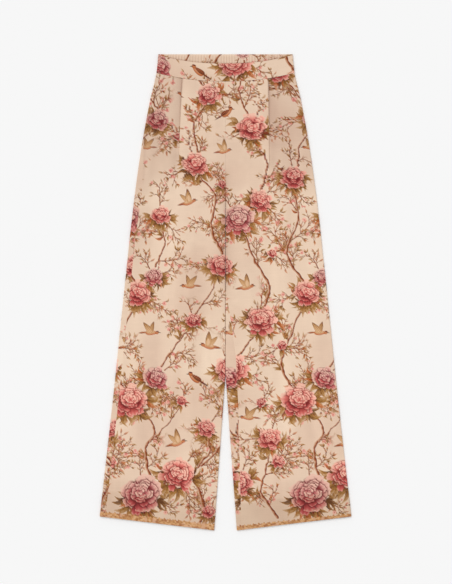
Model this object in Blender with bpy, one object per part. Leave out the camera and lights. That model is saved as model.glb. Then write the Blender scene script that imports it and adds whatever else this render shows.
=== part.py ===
"""Palazzo pants laid flat on their back: two wide legs, each cut as a front and a back panel, under a
smooth front waistband and an elasticated back one. The cloth is a wall through rings: the lower layer
lies on the surface, folds up round each edge and comes back as the upper layer, where the front pleats
and the soft folds lie. Each seam rolls a little to the front or to the back, as on a real pair.

+X is the wearer's left, +Y runs up to the waist and +Z is up from the surface. The origin is on the
surface, under the middle of the garment. All sizes are in metres and all turns in radians.
"""

from collections import namedtuple

import bpy
import numpy as np

# Driving dimensions.
LENGTH = 1.100  # top of the back waistband to the lowest corners of the hems
LEGS_PART = 0.741  # below the waist, where the two legs stop touching
CROTCH = 0.337  # below the waist, where the centre seams end
CROTCH_REACH = 0.040  # length over which the open centre edges become folds
HEM_INSET = 0.0261  # inner corner of each hem from the centre line
HEM_RISE = 0.0321  # the outer corner of each hem lies this much higher

BAND_HEIGHT = 0.0427  # at the side seams
FRONT_SAG = 0.0200  # the front waistband dips this much in the middle
FRONT_SAG_POWER = 2.2  # how flat the dip is in the middle
FRONT_BAND_STEP = 0.0015  # its ends stay this much under the top of the back waistband

LEG_WALL = 0.0010
FRONT_BAND_WALL = 0.0018
BACK_BAND_WALL = 0.0016
LAYER_PITCH = 0.0036  # middle of the lower layer to middle of the upper one
SEAM_GAP = 0.0003

PLEAT_RADIUS = 0.00068  # middle line of the cloth round a pleat's fold
PLEAT_UP = 0.26  # share of a pleat's step that stands above the cloth round it
PLEAT_RAMP = 0.025  # length over which the cloth beside a pleat comes level again
PLEAT_MARGIN = 0.001

GATHERS = 48
GATHER_HEIGHT = 0.0009
GATHER_END = 0.06  # share of the half width without gathers at each side seam

# How finely the walls are divided.
FOLD_STEPS = 4
PLEAT_STEPS = 4
PLAIN_COLUMNS = 3
BACK_COLUMNS = 4
BAND_COLUMNS = 40
BAND_ROWS = 3
COLUMNS_PER_GATHER = 4
LEAST_STEP = 0.00015
FOLD_SHOULDER = 0.002  # level cloth kept beside each fold

RIGHT, LEFT = "right", "left"
SIDE_SIGN = {RIGHT: -1.0, LEFT: 1.0}

Section = namedtuple("Section", "below_waist half_width")
OUTLINE = [
    Section(0.0000, 0.1552),
    Section(0.0415, 0.1597),
    Section(0.1062, 0.1746),
    Section(0.1985, 0.1915),
    Section(0.3370, 0.2112),
    Section(0.5678, 0.2363),
    Section(0.7986, 0.2603),
    Section(1.0679, 0.2908),
]

# How far each seam lies from the edge of its leg: in front of it, or under it where negative.
SeamRoll = namedtuple("SeamRoll", "below_waist right_outseam right_inseam left_outseam left_inseam")
SEAM_ROLL = [
    SeamRoll(0.000, 0.0000, 0.0000, 0.0000, 0.0000),
    SeamRoll(0.187, 0.0000, 0.0000, 0.0000, 0.0000),
    SeamRoll(0.222, 0.0065, 0.0000, -0.0065, 0.0000),
    SeamRoll(0.268, 0.0125, 0.0000, -0.0125, 0.0000),
    SeamRoll(0.337, 0.0165, 0.0000, -0.0140, 0.0000),
    SeamRoll(0.430, 0.0139, -0.0020, -0.0140, 0.0000),
    SeamRoll(0.533, 0.0139, -0.0100, -0.0140, 0.0010),
    SeamRoll(0.614, 0.0139, -0.0140, -0.0140, 0.0127),
    SeamRoll(0.734, 0.0139, -0.0140, -0.0140, 0.0261),
    SeamRoll(0.799, 0.0139, -0.0140, -0.0140, 0.0254),
    SeamRoll(0.914, 0.0139, -0.0140, -0.0140, 0.0203),
    SeamRoll(1.100, 0.0139, -0.0140, -0.0140, 0.0115),
]

# The front pleats: where each fold's edge lies from the centre line, how much cloth it covers and how
# far it is turned. Below the pleat the same line runs on down the leg.
Pleat = namedtuple("Pleat", "below_waist right_fold left_fold under turn")
PLEATS = [
    Pleat(0.0400, 0.0976, 0.0988, 0.0140, np.pi),
    Pleat(0.0880, 0.1016, 0.0993, 0.0105, np.pi),
    Pleat(0.1640, 0.1050, 0.1002, 0.0055, np.pi),
    Pleat(0.2220, 0.1066, 0.1004, 0.0020, np.pi),
    Pleat(0.2560, 0.1068, 0.1012, 0.0006, np.pi / 2),
    Pleat(0.3000, 0.1090, 0.1050, 0.0000, 0.0),
    Pleat(0.6000, 0.1300, 0.1280, 0.0000, 0.0),
    Pleat(1.1000, 0.1600, 0.1580, 0.0000, 0.0),
]

# Soft folds of the upper layer: ridges, and troughs where the height is negative.
SoftFold = namedtuple("SoftFold", "leg top bottom across_top across_bottom half_width height")
SOFT_FOLDS = [
    SoftFold(RIGHT, 0.245, 1.060, 0.107, 0.152, 0.030, 0.0011),
    SoftFold(RIGHT, 0.120, 0.330, 0.162, 0.186, 0.016, 0.0009),
    SoftFold(RIGHT, 0.330, 0.860, 0.052, 0.078, 0.026, -0.0009),
    SoftFold(RIGHT, 0.520, 1.020, 0.192, 0.232, 0.024, 0.0010),
    SoftFold(RIGHT, 0.640, 1.090, 0.082, 0.094, 0.024, 0.0008),
    SoftFold(LEFT, 0.250, 1.060, 0.102, 0.160, 0.028, 0.0011),
    SoftFold(LEFT, 0.150, 0.420, 0.168, 0.180, 0.018, 0.0008),
    SoftFold(LEFT, 0.360, 0.900, 0.060, 0.092, 0.028, -0.0009),
    SoftFold(LEFT, 0.480, 1.050, 0.186, 0.238, 0.026, 0.0009),
    SoftFold(LEFT, 0.700, 1.090, 0.090, 0.112, 0.022, 0.0008),
]
SOFT_FOLD_FADE = 0.30  # share of a soft fold's length over which it rises and dies away
EDGE_CALM = 0.020  # soft folds die away over this distance from a leg's edges

PRINTED_CLOTH = (0.77, 0.61, 0.49, 1.0)
BAND_CLOTH = (0.75, 0.59, 0.47, 1.0)


def eased(share):
    """0 before 0, 1 after 1, and a smooth rise between."""
    share = np.clip(share, 0.0, 1.0)
    return share * share * (3.0 - 2.0 * share)


def column(table, name):
    return np.array([getattr(row, name) for row in table])


def read(table, name, below_waist):
    """A table's named column at any distance below the waist, smooth and without overshoot."""
    places, values = column(table, "below_waist"), column(table, name)
    spans = np.diff(places)
    slopes = np.diff(values) / spans
    before, after = slopes[:-1], slopes[1:]
    same_way = before * after > 0
    total = np.where(same_way, before + after, 1.0)
    inner = np.where(same_way, 2.0 * before * after / total, 0.0)
    tangents = np.concatenate([slopes[:1], inner, slopes[-1:]])
    at = np.clip(below_waist, places[0], places[-1])
    row = np.clip(np.searchsorted(places, at) - 1, 0, len(spans) - 1)
    share = (at - places[row]) / spans[row]
    rise = eased(share)
    leave = share * (1.0 - share) ** 2
    arrive = share**2 * (share - 1.0)
    bend = leave * tangents[row] + arrive * tangents[row + 1]
    return values[row] * (1.0 - rise) + values[row + 1] * rise + spans[row] * bend


def below_waist_of(y):
    return LENGTH / 2 - y


def outer_edge(y):
    """Half width of the garment at a height."""
    return read(OUTLINE, "half_width", below_waist_of(y))


def inner_edge(y):
    """Inner edge of a leg: on the centre line as far as the legs touch, then slanting outwards."""
    parted = (below_waist_of(y) - LEGS_PART) / (LENGTH - LEGS_PART)
    return SEAM_GAP / 2 + (HEM_INSET - SEAM_GAP / 2) * np.maximum(parted, 0.0)


def waist_dip(across):
    """How far the front waist seam lies under its ends. across is 0 in the middle and 1 at a side."""
    return FRONT_SAG * (1.0 - np.minimum(np.abs(across), 1.0) ** FRONT_SAG_POWER)


def leg_height(down, across, is_back):
    """Y at a share of the way down a leg and across it. The back panels reach up to a level waist seam,
    and further down both panels share their rows."""
    band_seam = LENGTH / 2 - BAND_HEIGHT - SEAM_GAP
    top = band_seam - waist_dip(across)
    hem = -LENGTH / 2 + HEM_RISE * across
    level_part = 0.08
    raised = waist_dip(across) * (1.0 - eased(down / level_part)) if is_back else 0.0
    return top * (1.0 - down) + hem * down + raised


def fold(roll, radius):
    """Middle line of a fold, at a distance round from its outermost point, towards the upper layer where
    positive: outward and upward from the fold's centre, and the outward normal."""
    quarter = radius * np.pi / 2
    turn = np.clip(roll, -quarter, quarter) / radius
    beyond = np.maximum(np.abs(roll) - quarter, 0.0)
    return radius * np.cos(turn) - beyond, radius * np.sin(turn), np.cos(turn), np.sin(turn)


def fold_rolls(seam, radius, over_top):
    """Distances round a fold at which a panel that ends at this seam has its columns, from the seam on.
    They never come closer together than the least step, also where the seam has passed the fold."""
    quarter = radius * np.pi / 2
    round_fold = np.linspace(-quarter, quarter, FOLD_STEPS + 1)
    knots = np.concatenate([[-np.inf], round_fold, [quarter + FOLD_SHOULDER]])
    ahead = seam if over_top else -seam
    rolls = np.maximum(knots, ahead + LEAST_STEP * np.arange(len(knots)))
    return rolls if over_top else -rolls


def pleat_line(distance, under, turn):
    """Middle line of a pleat, outward and upward from the middle of its hidden layer, at a distance along
    the cloth. The cloth turns back under its fold and then outwards again."""
    far = under / 2 + turn * PLEAT_RADIUS
    length = np.abs(distance)
    straight = np.minimum(length, under / 2)
    turn_left = np.clip(turn - (length - under / 2) / PLEAT_RADIUS, 0.0, turn)
    out = straight * np.cos(turn) + PLEAT_RADIUS * (np.sin(turn) - np.sin(turn_left))
    out = out + np.maximum(length - far, 0.0)
    down = straight * np.sin(turn) + PLEAT_RADIUS * (np.cos(turn_left) - np.cos(turn))
    step = under * np.sin(turn) + 2 * PLEAT_RADIUS * (1.0 - np.cos(turn))
    level = eased((length - far - under - PLEAT_MARGIN) / PLEAT_RAMP)
    inward = distance < 0
    share = np.where(inward, -PLEAT_UP, 1.0 - PLEAT_UP)
    up = -np.sign(distance) * down + step * (PLEAT_UP - 0.5 + share * level)
    return np.sign(distance) * out, up


def pleat_columns(under, turn, reach_in, reach_out, down):
    """Distances along the cloth, from the middle of the pleat, of a front panel's middle columns. They
    crowd in the pleat's folds and spread out below it."""
    spread = 0.0003 + 0.011 * np.maximum(down - 0.20, 0.0)
    steps = [max(turn * PLEAT_RADIUS / PLEAT_STEPS, spread)] * PLEAT_STEPS
    steps += [max(under + PLEAT_MARGIN, spread)] + [PLEAT_RAMP / 2] * 2
    half = max(under / 2, spread / 2) + np.concatenate([[0.0], np.cumsum(steps)])
    plain = np.arange(1, PLAIN_COLUMNS + 1) / (PLAIN_COLUMNS + 1)
    outer = half[-1] + (reach_out - half[-1]) * plain
    inner = half[-1] + (reach_in - half[-1]) * plain
    return np.concatenate([-inner[::-1], -half[::-1], half, outer])


def soft_lift(side, x, y, inner, outer):
    """Height of the soft folds of one leg's upper layer."""
    below = below_waist_of(y)
    lift = np.zeros_like(x)
    for row in SOFT_FOLDS:
        if row.leg != side:
            continue
        share = (below - row.top) / (row.bottom - row.top)
        ridge = row.across_top + (row.across_bottom - row.across_top) * share
        away = np.clip(np.abs(x - ridge) / row.half_width, 0.0, 1.0)
        ends = eased(share / SOFT_FOLD_FADE) * eased((1.0 - share) / SOFT_FOLD_FADE)
        lift += row.height * ends * 0.5 * (1.0 + np.cos(np.pi * away))
    calm = eased((x - inner - FOLD_SHOULDER) / EDGE_CALM)
    calm *= eased((outer - FOLD_SHOULDER - x) / EDGE_CALM)
    return lift * calm


class LegLevel:
    """One ring of a leg, at a share of the way down: its two edges, folds and seams."""

    def __init__(self, side, down):
        self.side, self.down = side, down
        self.inner_y = float(leg_height(down, 0.0, False))
        self.outer_y = float(leg_height(down, 1.0, False))
        self.inner = float(inner_edge(self.inner_y))
        self.outer = float(outer_edge(self.outer_y))
        self.radius = LAYER_PITCH / 2
        self.round = self.radius + LEG_WALL / 2
        above_crotch = self.inner_y - (LENGTH / 2 - CROTCH)
        self.closed = float(eased(0.5 - above_crotch / CROTCH_REACH))
        self.inner_centre = self.inner + self.round * np.sin(self.closed * np.pi / 2)
        self.outer_centre = self.outer - self.round
        self.low = LEG_WALL / 2
        self.high = self.low + LAYER_PITCH

    def seam(self, name, y):
        return float(read(SEAM_ROLL, f"{self.side}_{name}", below_waist_of(y)))

    def edge_rolls(self, name, over_top):
        """Where one panel ends at a seam, and its columns round that fold."""
        y = self.inner_y if name == "inseam" else self.outer_y
        way = 1.0 if over_top else -1.0
        opened = (1.0 - self.closed) * self.radius * np.pi / 2 if name == "inseam" else 0.0
        end = self.seam(name, y) + way * (opened + SEAM_GAP / 2)
        return fold_rolls(end, self.radius, over_top)

    def round_fold(self, name, rolls):
        """Points and normals of the cloth round the inner or the outer fold."""
        out, up, normal_out, normal_up = fold(rolls, self.radius)
        way, centre = (-1.0, self.inner_centre) if name == "inseam" else (1.0, self.outer_centre)
        z = self.low + self.radius + up
        return np.stack([centre + way * out, z]), np.stack([way * normal_out, normal_up])

    def front_middle(self, start, end):
        """Points and normals of the upper layer between two places, with its pleat."""
        near_pleat = below_waist_of(float(leg_height(self.down, 0.6, False)))
        under = float(read(PLEATS, "under", near_pleat))
        turn = float(read(PLEATS, "turn", near_pleat))
        edge = float(read(PLEATS, f"{self.side}_fold", near_pleat))
        overhang = max(-under / 2 * np.cos(turn) + PLEAT_RADIUS * (1.0 - np.sin(turn)), 0.0)
        centre = edge - (overhang if turn > np.pi / 2 else 0.0)
        far = under / 2 + turn * PLEAT_RADIUS
        far_out = under / 2 * np.cos(turn) + PLEAT_RADIUS * np.sin(turn)
        reach_in = centre - start - far_out + far
        reach_out = end - centre - far_out + far
        distances = pleat_columns(under, turn, reach_in, reach_out, self.down)

        def point(distance):
            out, up = pleat_line(distance, under, turn)
            x = centre + out
            across = (x - self.inner) / (self.outer - self.inner)
            y = leg_height(self.down, across, False)
            return np.stack([x, self.high + up + soft_lift(self.side, x, y, self.inner, self.outer)])

        tiny = 1e-5
        along = point(distances + tiny) - point(distances - tiny)
        along /= np.linalg.norm(along, axis=0)
        return point(distances), np.stack([-along[1], along[0]])

    def back_middle(self, start, end):
        """Points and normals of the lower layer between two places, flat on the surface."""
        x = start + (end - start) * np.arange(1, BACK_COLUMNS + 1) / (BACK_COLUMNS + 1)
        return np.stack([x, np.full_like(x, self.low)]), np.stack([0.0 * x, 0.0 * x - 1.0])

    def ring(self, is_back):
        """One row of a panel from the inseam to the outseam: its points and its outward normals."""
        over_top = not is_back
        inner = self.round_fold("inseam", self.edge_rolls("inseam", over_top))
        outer = self.round_fold("outseam", self.edge_rolls("outseam", over_top)[::-1])
        start, end = inner[0][0, -1], outer[0][0, 0]
        middle = self.back_middle(start, end) if is_back else self.front_middle(start, end)
        points = np.concatenate([inner[0], middle[0], outer[0]], axis=1)
        normals = np.concatenate([inner[1], middle[1], outer[1]], axis=1)
        return points, normals


def material(name, colour, roughness):
    """A plain cloth finish."""
    made = bpy.data.materials.new(name)
    made.use_nodes = True
    shader = made.node_tree.nodes["Principled BSDF"]
    shader.inputs["Base Color"].default_value = colour
    shader.inputs["Roughness"].default_value = roughness
    shader.inputs["Metallic"].default_value = 0.0
    return made


def wall(name, outside, inside, turned, finish):
    """A closed wall between two grids of points, with its four rims. turned is set where the outside grid
    would face inwards."""
    rows, columns = outside.shape[:2]
    count = rows * columns
    points = np.concatenate([outside.reshape(-1, 3), inside.reshape(-1, 3)])
    index = np.arange(count).reshape(rows, columns)
    a, b, c, d = index[:-1, :-1], index[:-1, 1:], index[1:, 1:], index[1:, :-1]
    outer_faces = np.stack([a, d, c, b], axis=-1).reshape(-1, 4)
    inner_faces = outer_faces[:, ::-1] + count
    around = np.concatenate([index[0, :-1], index[:-1, -1], index[-1, :0:-1], index[:0:-1, 0]])
    following = np.roll(around, -1)
    rim_faces = np.stack([around, following, following + count, around + count], axis=-1)
    faces = np.concatenate([outer_faces, inner_faces, rim_faces])
    if turned:
        faces = faces[:, ::-1]
    mesh = bpy.data.meshes.new(name)
    mesh.from_pydata(points.tolist(), [], faces.tolist())
    mesh.update()
    mesh.shade_smooth()
    mesh.set_sharp_from_angle(angle=np.radians(50.0))
    mesh.materials.append(finish)
    made = bpy.data.objects.new(name, mesh)
    bpy.context.scene.collection.objects.link(made)
    return made


def leg_rows():
    """Shares of the way down a leg: close by the pleat and the crotch, wide below them."""
    pleat_part = np.linspace(0.0, 0.24, 10, endpoint=False)
    crotch_part = np.linspace(0.24, 0.33, 5, endpoint=False)
    long_part = np.linspace(0.33, 1.0, 11)
    return np.concatenate([pleat_part, crotch_part, long_part])


def leg_panel(side, is_back):
    """The front or the back of one leg."""
    outside, inside = [], []
    for down in leg_rows():
        level = LegLevel(side, float(down))
        (x, z), (normal_x, normal_z) = level.ring(is_back)
        across = (x - level.inner) / (level.outer - level.inner)
        y = leg_height(level.down, np.clip(across, 0.0, 1.0), is_back)
        for grid, way in ((outside, 0.5), (inside, -0.5)):
            grid_x = x + way * LEG_WALL * normal_x
            grid_z = z + way * LEG_WALL * normal_z
            grid.append(np.stack([SIDE_SIGN[side] * grid_x, y, grid_z], axis=-1))
    part = "back" if is_back else "front"
    finish = material(f"{part}_{side}_cloth", PRINTED_CLOTH, 0.75)
    turned = is_back != (side == RIGHT)
    return wall(f"{part}_panel_{side}", np.array(outside), np.array(inside), turned, finish)


def band_across(columns):
    """Places across a waistband between its side folds, from one side seam to the other."""
    return np.linspace(-1.0, 1.0, columns)


def band_row(y_inside, wall_thickness, is_back, columns):
    """One row of a waistband from side seam to side seam: points, normals, and shares across."""
    half = outer_edge(y_inside)
    radius = LAYER_PITCH / 2
    centre = half - radius - wall_thickness / 2
    rolls = np.linspace(SEAM_GAP / 2, radius * np.pi / 2, FOLD_STEPS // 2 + 1)
    out, up, normal_out, normal_up = fold(rolls, radius)
    middle = band_across(columns) * (centre - FOLD_SHOULDER)
    x = np.concatenate([-centre - out, middle, (centre + out)[::-1]])
    way = -1.0 if is_back else 1.0
    z = np.concatenate([up, np.full(columns, radius), up[::-1]]) * way
    normal_x = np.concatenate([-normal_out, np.zeros(columns), normal_out[::-1]])
    normal_z = np.concatenate([normal_up, np.ones(columns), normal_up[::-1]]) * way
    return x, z + BACK_BAND_WALL / 2 + radius, normal_x, normal_z, x / half


def gathers(across):
    """Height of the gathers that the elastic draws up, level at the side seams."""
    phase = across * GATHERS * np.pi + 0.35 * np.sin(9.0 * across) + 0.2 * np.sin(23.0 * across)
    ends = eased((1.0 - np.abs(across) - GATHER_END / 2) / GATHER_END)
    return GATHER_HEIGHT * ends * 0.5 * (1.0 + np.cos(phase))


def waistband(is_back):
    """The front waistband, which dips in the middle, or the level and gathered back one."""
    thickness = BACK_BAND_WALL if is_back else FRONT_BAND_WALL
    columns = GATHERS * COLUMNS_PER_GATHER + 1 if is_back else BAND_COLUMNS
    outside, inside = [], []
    for share in np.linspace(0.0, 1.0, BAND_ROWS + 1):
        side_y = LENGTH / 2 - BAND_HEIGHT * (1.0 - share)
        if not is_back:
            side_y -= FRONT_BAND_STEP * share
        x, z, normal_x, normal_z, across = band_row(side_y, thickness, is_back, columns)
        y = np.full_like(x, side_y) if is_back else side_y - waist_dip(across)
        relief = gathers(across) if is_back else np.zeros_like(x)
        outer_x = x + thickness / 2 * normal_x
        outer_z = z + thickness / 2 * normal_z
        inner_x = x - thickness / 2 * normal_x
        inner_z = z - (thickness / 2 + relief) * normal_z
        outside.append(np.stack([outer_x, y, outer_z], axis=-1))
        inside.append(np.stack([inner_x, y, inner_z], axis=-1))
    name = "waistband_back" if is_back else "waistband_front"
    finish = material(f"{name}_cloth", BAND_CLOTH, 0.75)
    return wall(name, np.array(outside), np.array(inside), not is_back, finish)


def main():
    for old in list(bpy.data.objects):
        bpy.data.objects.remove(old)
    for side in (RIGHT, LEFT):
        leg_panel(side, is_back=False)
        leg_panel(side, is_back=True)
    waistband(is_back=False)
    waistband(is_back=True)


main()
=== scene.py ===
"""Palazzo pants in a printed satin, laid flat on their back: two wide legs with a front pleat each, a
smooth front waistband that dips in the middle and an elasticated back one. Each cut and sewn piece is a
thin shell over the same rings as its solid. The print is painted on the cloth's own places: a
full-width floral with a gilt border along the hems.

+X is the wearer's left, +Y runs up to the waist and +Z is up from the surface. Sizes are in metres.
"""

from collections import namedtuple

import bpy
import numpy as np
from bpy.props import FloatProperty, FloatVectorProperty, PointerProperty
from bpy.types import Operator, Panel, PropertyGroup
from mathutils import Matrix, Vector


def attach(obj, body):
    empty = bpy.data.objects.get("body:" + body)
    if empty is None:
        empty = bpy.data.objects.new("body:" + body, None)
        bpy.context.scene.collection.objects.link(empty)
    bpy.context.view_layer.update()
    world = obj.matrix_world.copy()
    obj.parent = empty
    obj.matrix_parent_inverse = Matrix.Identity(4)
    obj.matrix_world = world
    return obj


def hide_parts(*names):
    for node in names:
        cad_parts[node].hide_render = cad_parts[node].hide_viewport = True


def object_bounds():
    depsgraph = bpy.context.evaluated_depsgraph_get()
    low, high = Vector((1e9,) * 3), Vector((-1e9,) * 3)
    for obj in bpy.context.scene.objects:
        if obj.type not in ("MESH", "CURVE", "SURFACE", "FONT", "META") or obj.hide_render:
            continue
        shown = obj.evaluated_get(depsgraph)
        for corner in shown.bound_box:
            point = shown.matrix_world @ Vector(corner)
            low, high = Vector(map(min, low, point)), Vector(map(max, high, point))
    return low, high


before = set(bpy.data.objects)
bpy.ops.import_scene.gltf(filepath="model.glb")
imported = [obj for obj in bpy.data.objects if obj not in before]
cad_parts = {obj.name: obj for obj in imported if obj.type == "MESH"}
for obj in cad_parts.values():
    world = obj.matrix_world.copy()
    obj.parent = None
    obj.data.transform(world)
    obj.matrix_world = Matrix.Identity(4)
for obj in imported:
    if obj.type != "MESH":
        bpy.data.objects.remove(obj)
CAD_LOW, CAD_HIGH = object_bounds()

bl_info = {
    "name": "Palazzo pants",
    "version": (1, 0, 0),
    "blender": (4, 5, 0),
    "location": "3D View > Sidebar > Palazzo pants",
    "description": "Printed palazzo pants laid flat, piece by piece",
    "category": "Object",
}

# ---- the garment's sizes

# Heights are given as distances below the top of the back waistband.
LENGTH = 2.0 * CAD_HIGH[1]  # down to the lowest corners of the hems
CROTCH = 0.337
CROTCH_REACH = 0.040  # height over which the centre seam gives way to the inseams
LEGS_PART = 0.741  # where the two legs stop touching
HEM_INSET = 0.0261  # from the centre line to a hem's inner corner
HEM_RISE = 0.0321  # of a hem's outer corner over its inner one
BAND_HEIGHT = 0.0427
FRONT_SAG = 0.0200  # dip of the front waistband in its middle
FRONT_SAG_POWER = 2.2
FRONT_BAND_STEP = 0.0015  # from the back waistband's top down to the front one's ends
SEAM_GAP = 0.0003
LEG_SURFACE = 0.0046  # height of the front panels' face where they lie smooth
BAND_PITCH = 0.0036  # middle of the back waistband to middle of the front one
FRONT_BAND_WALL = 0.0018
BACK_BAND_WALL = 0.0016
BACK_TOP_EVEN = 0.08  # share of a leg over which its back's level top takes on the front's dip
PLEAT_UP = 0.26  # share of a pleat's step by which its own side stands up, the rest being the other's dip
PLEAT_RAMP = 0.025  # distance over which both sides come level again
PLEAT_EVEN = (0.17, 0.32)  # share of a leg over which the columns crowded for a pleat spread again
PLEAT_MARGIN = 0.001
PLEAT_EDGE_SPAN = 0.005  # of the finely divided cloth where it comes out from under a pleat
CREVICE_WIDTH = 0.0020
FOLD_SHOULDER = 0.002  # finely divided cloth beside a leg's fold
SOFT_FOLD_FADE = 0.30  # share of a soft fold over which each of its ends rises
EDGE_CALM = 0.020  # distance from a leg's edge over which its folds and creases fade
GATHERS = 48
GATHER_END = 0.06  # share of the half width over which the gathers fade at each end
GATHERS_DOWN = 0.16  # share of a leg's back that the gathers draw up

# How finely the cloth is divided, over the whole piece.
FRONT_ROWS = 580
FRONT_FOLD_COLUMNS = 10
# From the middle of a pleat inwards and outwards: half its hidden layer, round its fold, back over it, at
# its edge, beside it, and on to the panel's own edge.
INWARD_COLUMNS = (2, 6, 4, 2, 7, 57)
OUTWARD_COLUMNS = (2, 4, 2, 9, 7, 29)
PLEAT_STATIONS = 3  # of these spans are the pleat's own
BACK_ROWS = 470
BACK_FOLD_COLUMNS = 16
BACK_MIDDLE_COLUMNS = 100
BAND_ROWS = 34
BAND_EDGE_STEPS = 4
BAND_SIDE_STEPS = 5
FRONT_BAND_COLUMNS = 260
COLUMNS_PER_GATHER = 12
# Of the inside face only every few rows and columns are kept, and all of them near an edge.
INSIDE_ROW_STEP = 8
INSIDE_COLUMN_STEP = 3
BAND_INSIDE_STEP = 3
BAND_EDGE_ROWS = 6

RIGHT, LEFT = "right", "left"
SIDE_SIGN = {RIGHT: -1.0, LEFT: 1.0}


def listed(kind, table):
    """A table's rows under the names of their columns."""
    return [kind(*row) for row in table]


def sided(kind, right, left):
    """The rows of the two legs' tables, each with its leg."""
    return [kind(leg, *row) for leg, table in ((RIGHT, right), (LEFT, left)) for row in table]


Section = namedtuple("Section", "below_waist half_width")
OUTLINE = listed(Section, [
    (0.0, 0.1552), (0.0415, 0.1597), (0.1062, 0.1746), (0.1985, 0.1915),
    (0.337, 0.2112), (0.5678, 0.2363), (0.7986, 0.2603), (1.0679, 0.2908),
])

# How far each seam lies from the edge of its leg: in front of it, or under it where negative.
SeamRoll = namedtuple("SeamRoll", "below_waist right_outseam right_inseam left_outseam left_inseam")
SEAM_ROLL = listed(SeamRoll, [
    (0.0, 0.0, 0.0, 0.0, 0.0), (0.187, 0.0, 0.0, 0.0, 0.0),
    (0.222, 0.0065, 0.0, -0.0065, 0.0), (0.268, 0.0125, 0.0, -0.0125, 0.0),
    (0.337, 0.0165, 0.0, -0.014, 0.0), (0.43, 0.0139, -0.002, -0.014, 0.0),
    (0.533, 0.0139, -0.01, -0.014, 0.001), (0.614, 0.0139, -0.014, -0.014, 0.0127),
    (0.734, 0.0139, -0.014, -0.014, 0.0261), (0.799, 0.0139, -0.014, -0.014, 0.0254),
    (0.914, 0.0139, -0.014, -0.014, 0.0203), (1.1, 0.0139, -0.014, -0.014, 0.0115),
])

# The front pleats: where each fold's edge lies, how much cloth it covers and how far it is turned.
Pleat = namedtuple("Pleat", "below_waist right_fold left_fold under turn")
PLEATS = listed(Pleat, [
    (0.04, 0.0976, 0.0988, 0.014, np.pi), (0.088, 0.1016, 0.0993, 0.0105, np.pi),
    (0.164, 0.105, 0.1002, 0.0055, np.pi), (0.222, 0.1066, 0.1004, 0.002, np.pi),
    (0.256, 0.1068, 0.1012, 0.0006, np.pi / 2), (0.3, 0.109, 0.105, 0.0, 0.0),
    (0.6, 0.13, 0.128, 0.0, 0.0), (1.1, 0.16, 0.158, 0.0, 0.0),
])

# Soft folds of the front panels: ridges, and troughs where the height is negative.
SoftFold = namedtuple("SoftFold", "leg top bottom across_top across_bottom half_width height")
SOFT_FOLDS = sided(SoftFold, [
    (0.245, 1.06, 0.107, 0.152, 0.03, 0.0011), (0.12, 0.33, 0.162, 0.186, 0.016, 0.0009),
    (0.33, 0.86, 0.052, 0.078, 0.026, -0.0009), (0.52, 1.02, 0.192, 0.232, 0.024, 0.001),
    (0.64, 1.09, 0.082, 0.094, 0.024, 0.0008),
], [
    (0.25, 1.06, 0.102, 0.16, 0.028, 0.0011), (0.15, 0.42, 0.168, 0.18, 0.018, 0.0008),
    (0.36, 0.9, 0.06, 0.092, 0.028, -0.0009), (0.48, 1.05, 0.186, 0.238, 0.026, 0.0009),
    (0.7, 1.09, 0.09, 0.112, 0.022, 0.0008),
])

# Finer creases, each a soft ridge or trough from one place to another: across the leg from the centre
# line, and below the waist. The first one slants from the waist to the hip.
Crease = namedtuple("Crease", "leg across_a below_a across_b below_b half_width height")
FRONT_CREASES = sided(Crease, [
    (0.137, 0.04, 0.172, 0.116, 0.004, -0.0008), (0.096, 0.062, 0.088, 0.15, 0.011, 0.00035),
    (0.012, 0.33, 0.06, 0.292, 0.008, 0.00042), (0.01, 0.352, 0.07, 0.352, 0.009, -0.0004),
    (0.016, 0.38, 0.058, 0.424, 0.01, 0.00038), (0.176, 0.3, 0.17, 0.52, 0.012, -0.0005),
    (0.116, 0.42, 0.136, 0.7, 0.01, -0.00045), (0.208, 0.42, 0.226, 0.64, 0.01, 0.0005),
    (0.036, 0.56, 0.048, 0.78, 0.012, 0.00055), (0.176, 0.7, 0.19, 0.96, 0.013, -0.0006),
    (0.052, 0.86, 0.066, 1.06, 0.012, -0.00055), (0.236, 0.82, 0.262, 1.06, 0.011, 0.0006),
    (0.12, 0.9, 0.128, 1.07, 0.009, 0.0005), (0.03, 0.12, 0.026, 0.26, 0.012, 0.0003),
], [
    (0.128, 0.052, 0.146, 0.09, 0.007, 0.00035), (0.11, 0.066, 0.122, 0.176, 0.01, -0.0004),
    (0.014, 0.336, 0.056, 0.306, 0.007, 0.0004), (0.012, 0.35, 0.078, 0.366, 0.009, -0.00038),
    (0.018, 0.386, 0.05, 0.44, 0.01, 0.00036), (0.15, 0.23, 0.152, 0.42, 0.012, -0.00045),
    (0.124, 0.46, 0.134, 0.69, 0.011, -0.0005), (0.206, 0.36, 0.222, 0.56, 0.01, 0.00048),
    (0.056, 0.52, 0.062, 0.7, 0.011, 0.00045), (0.18, 0.64, 0.204, 0.9, 0.013, -0.0006),
    (0.064, 0.88, 0.078, 1.07, 0.012, -0.00055), (0.242, 0.76, 0.266, 1.03, 0.01, 0.0006),
    (0.13, 0.92, 0.14, 1.07, 0.009, 0.0005), (0.04, 0.14, 0.038, 0.28, 0.013, 0.0003),
])
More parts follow.
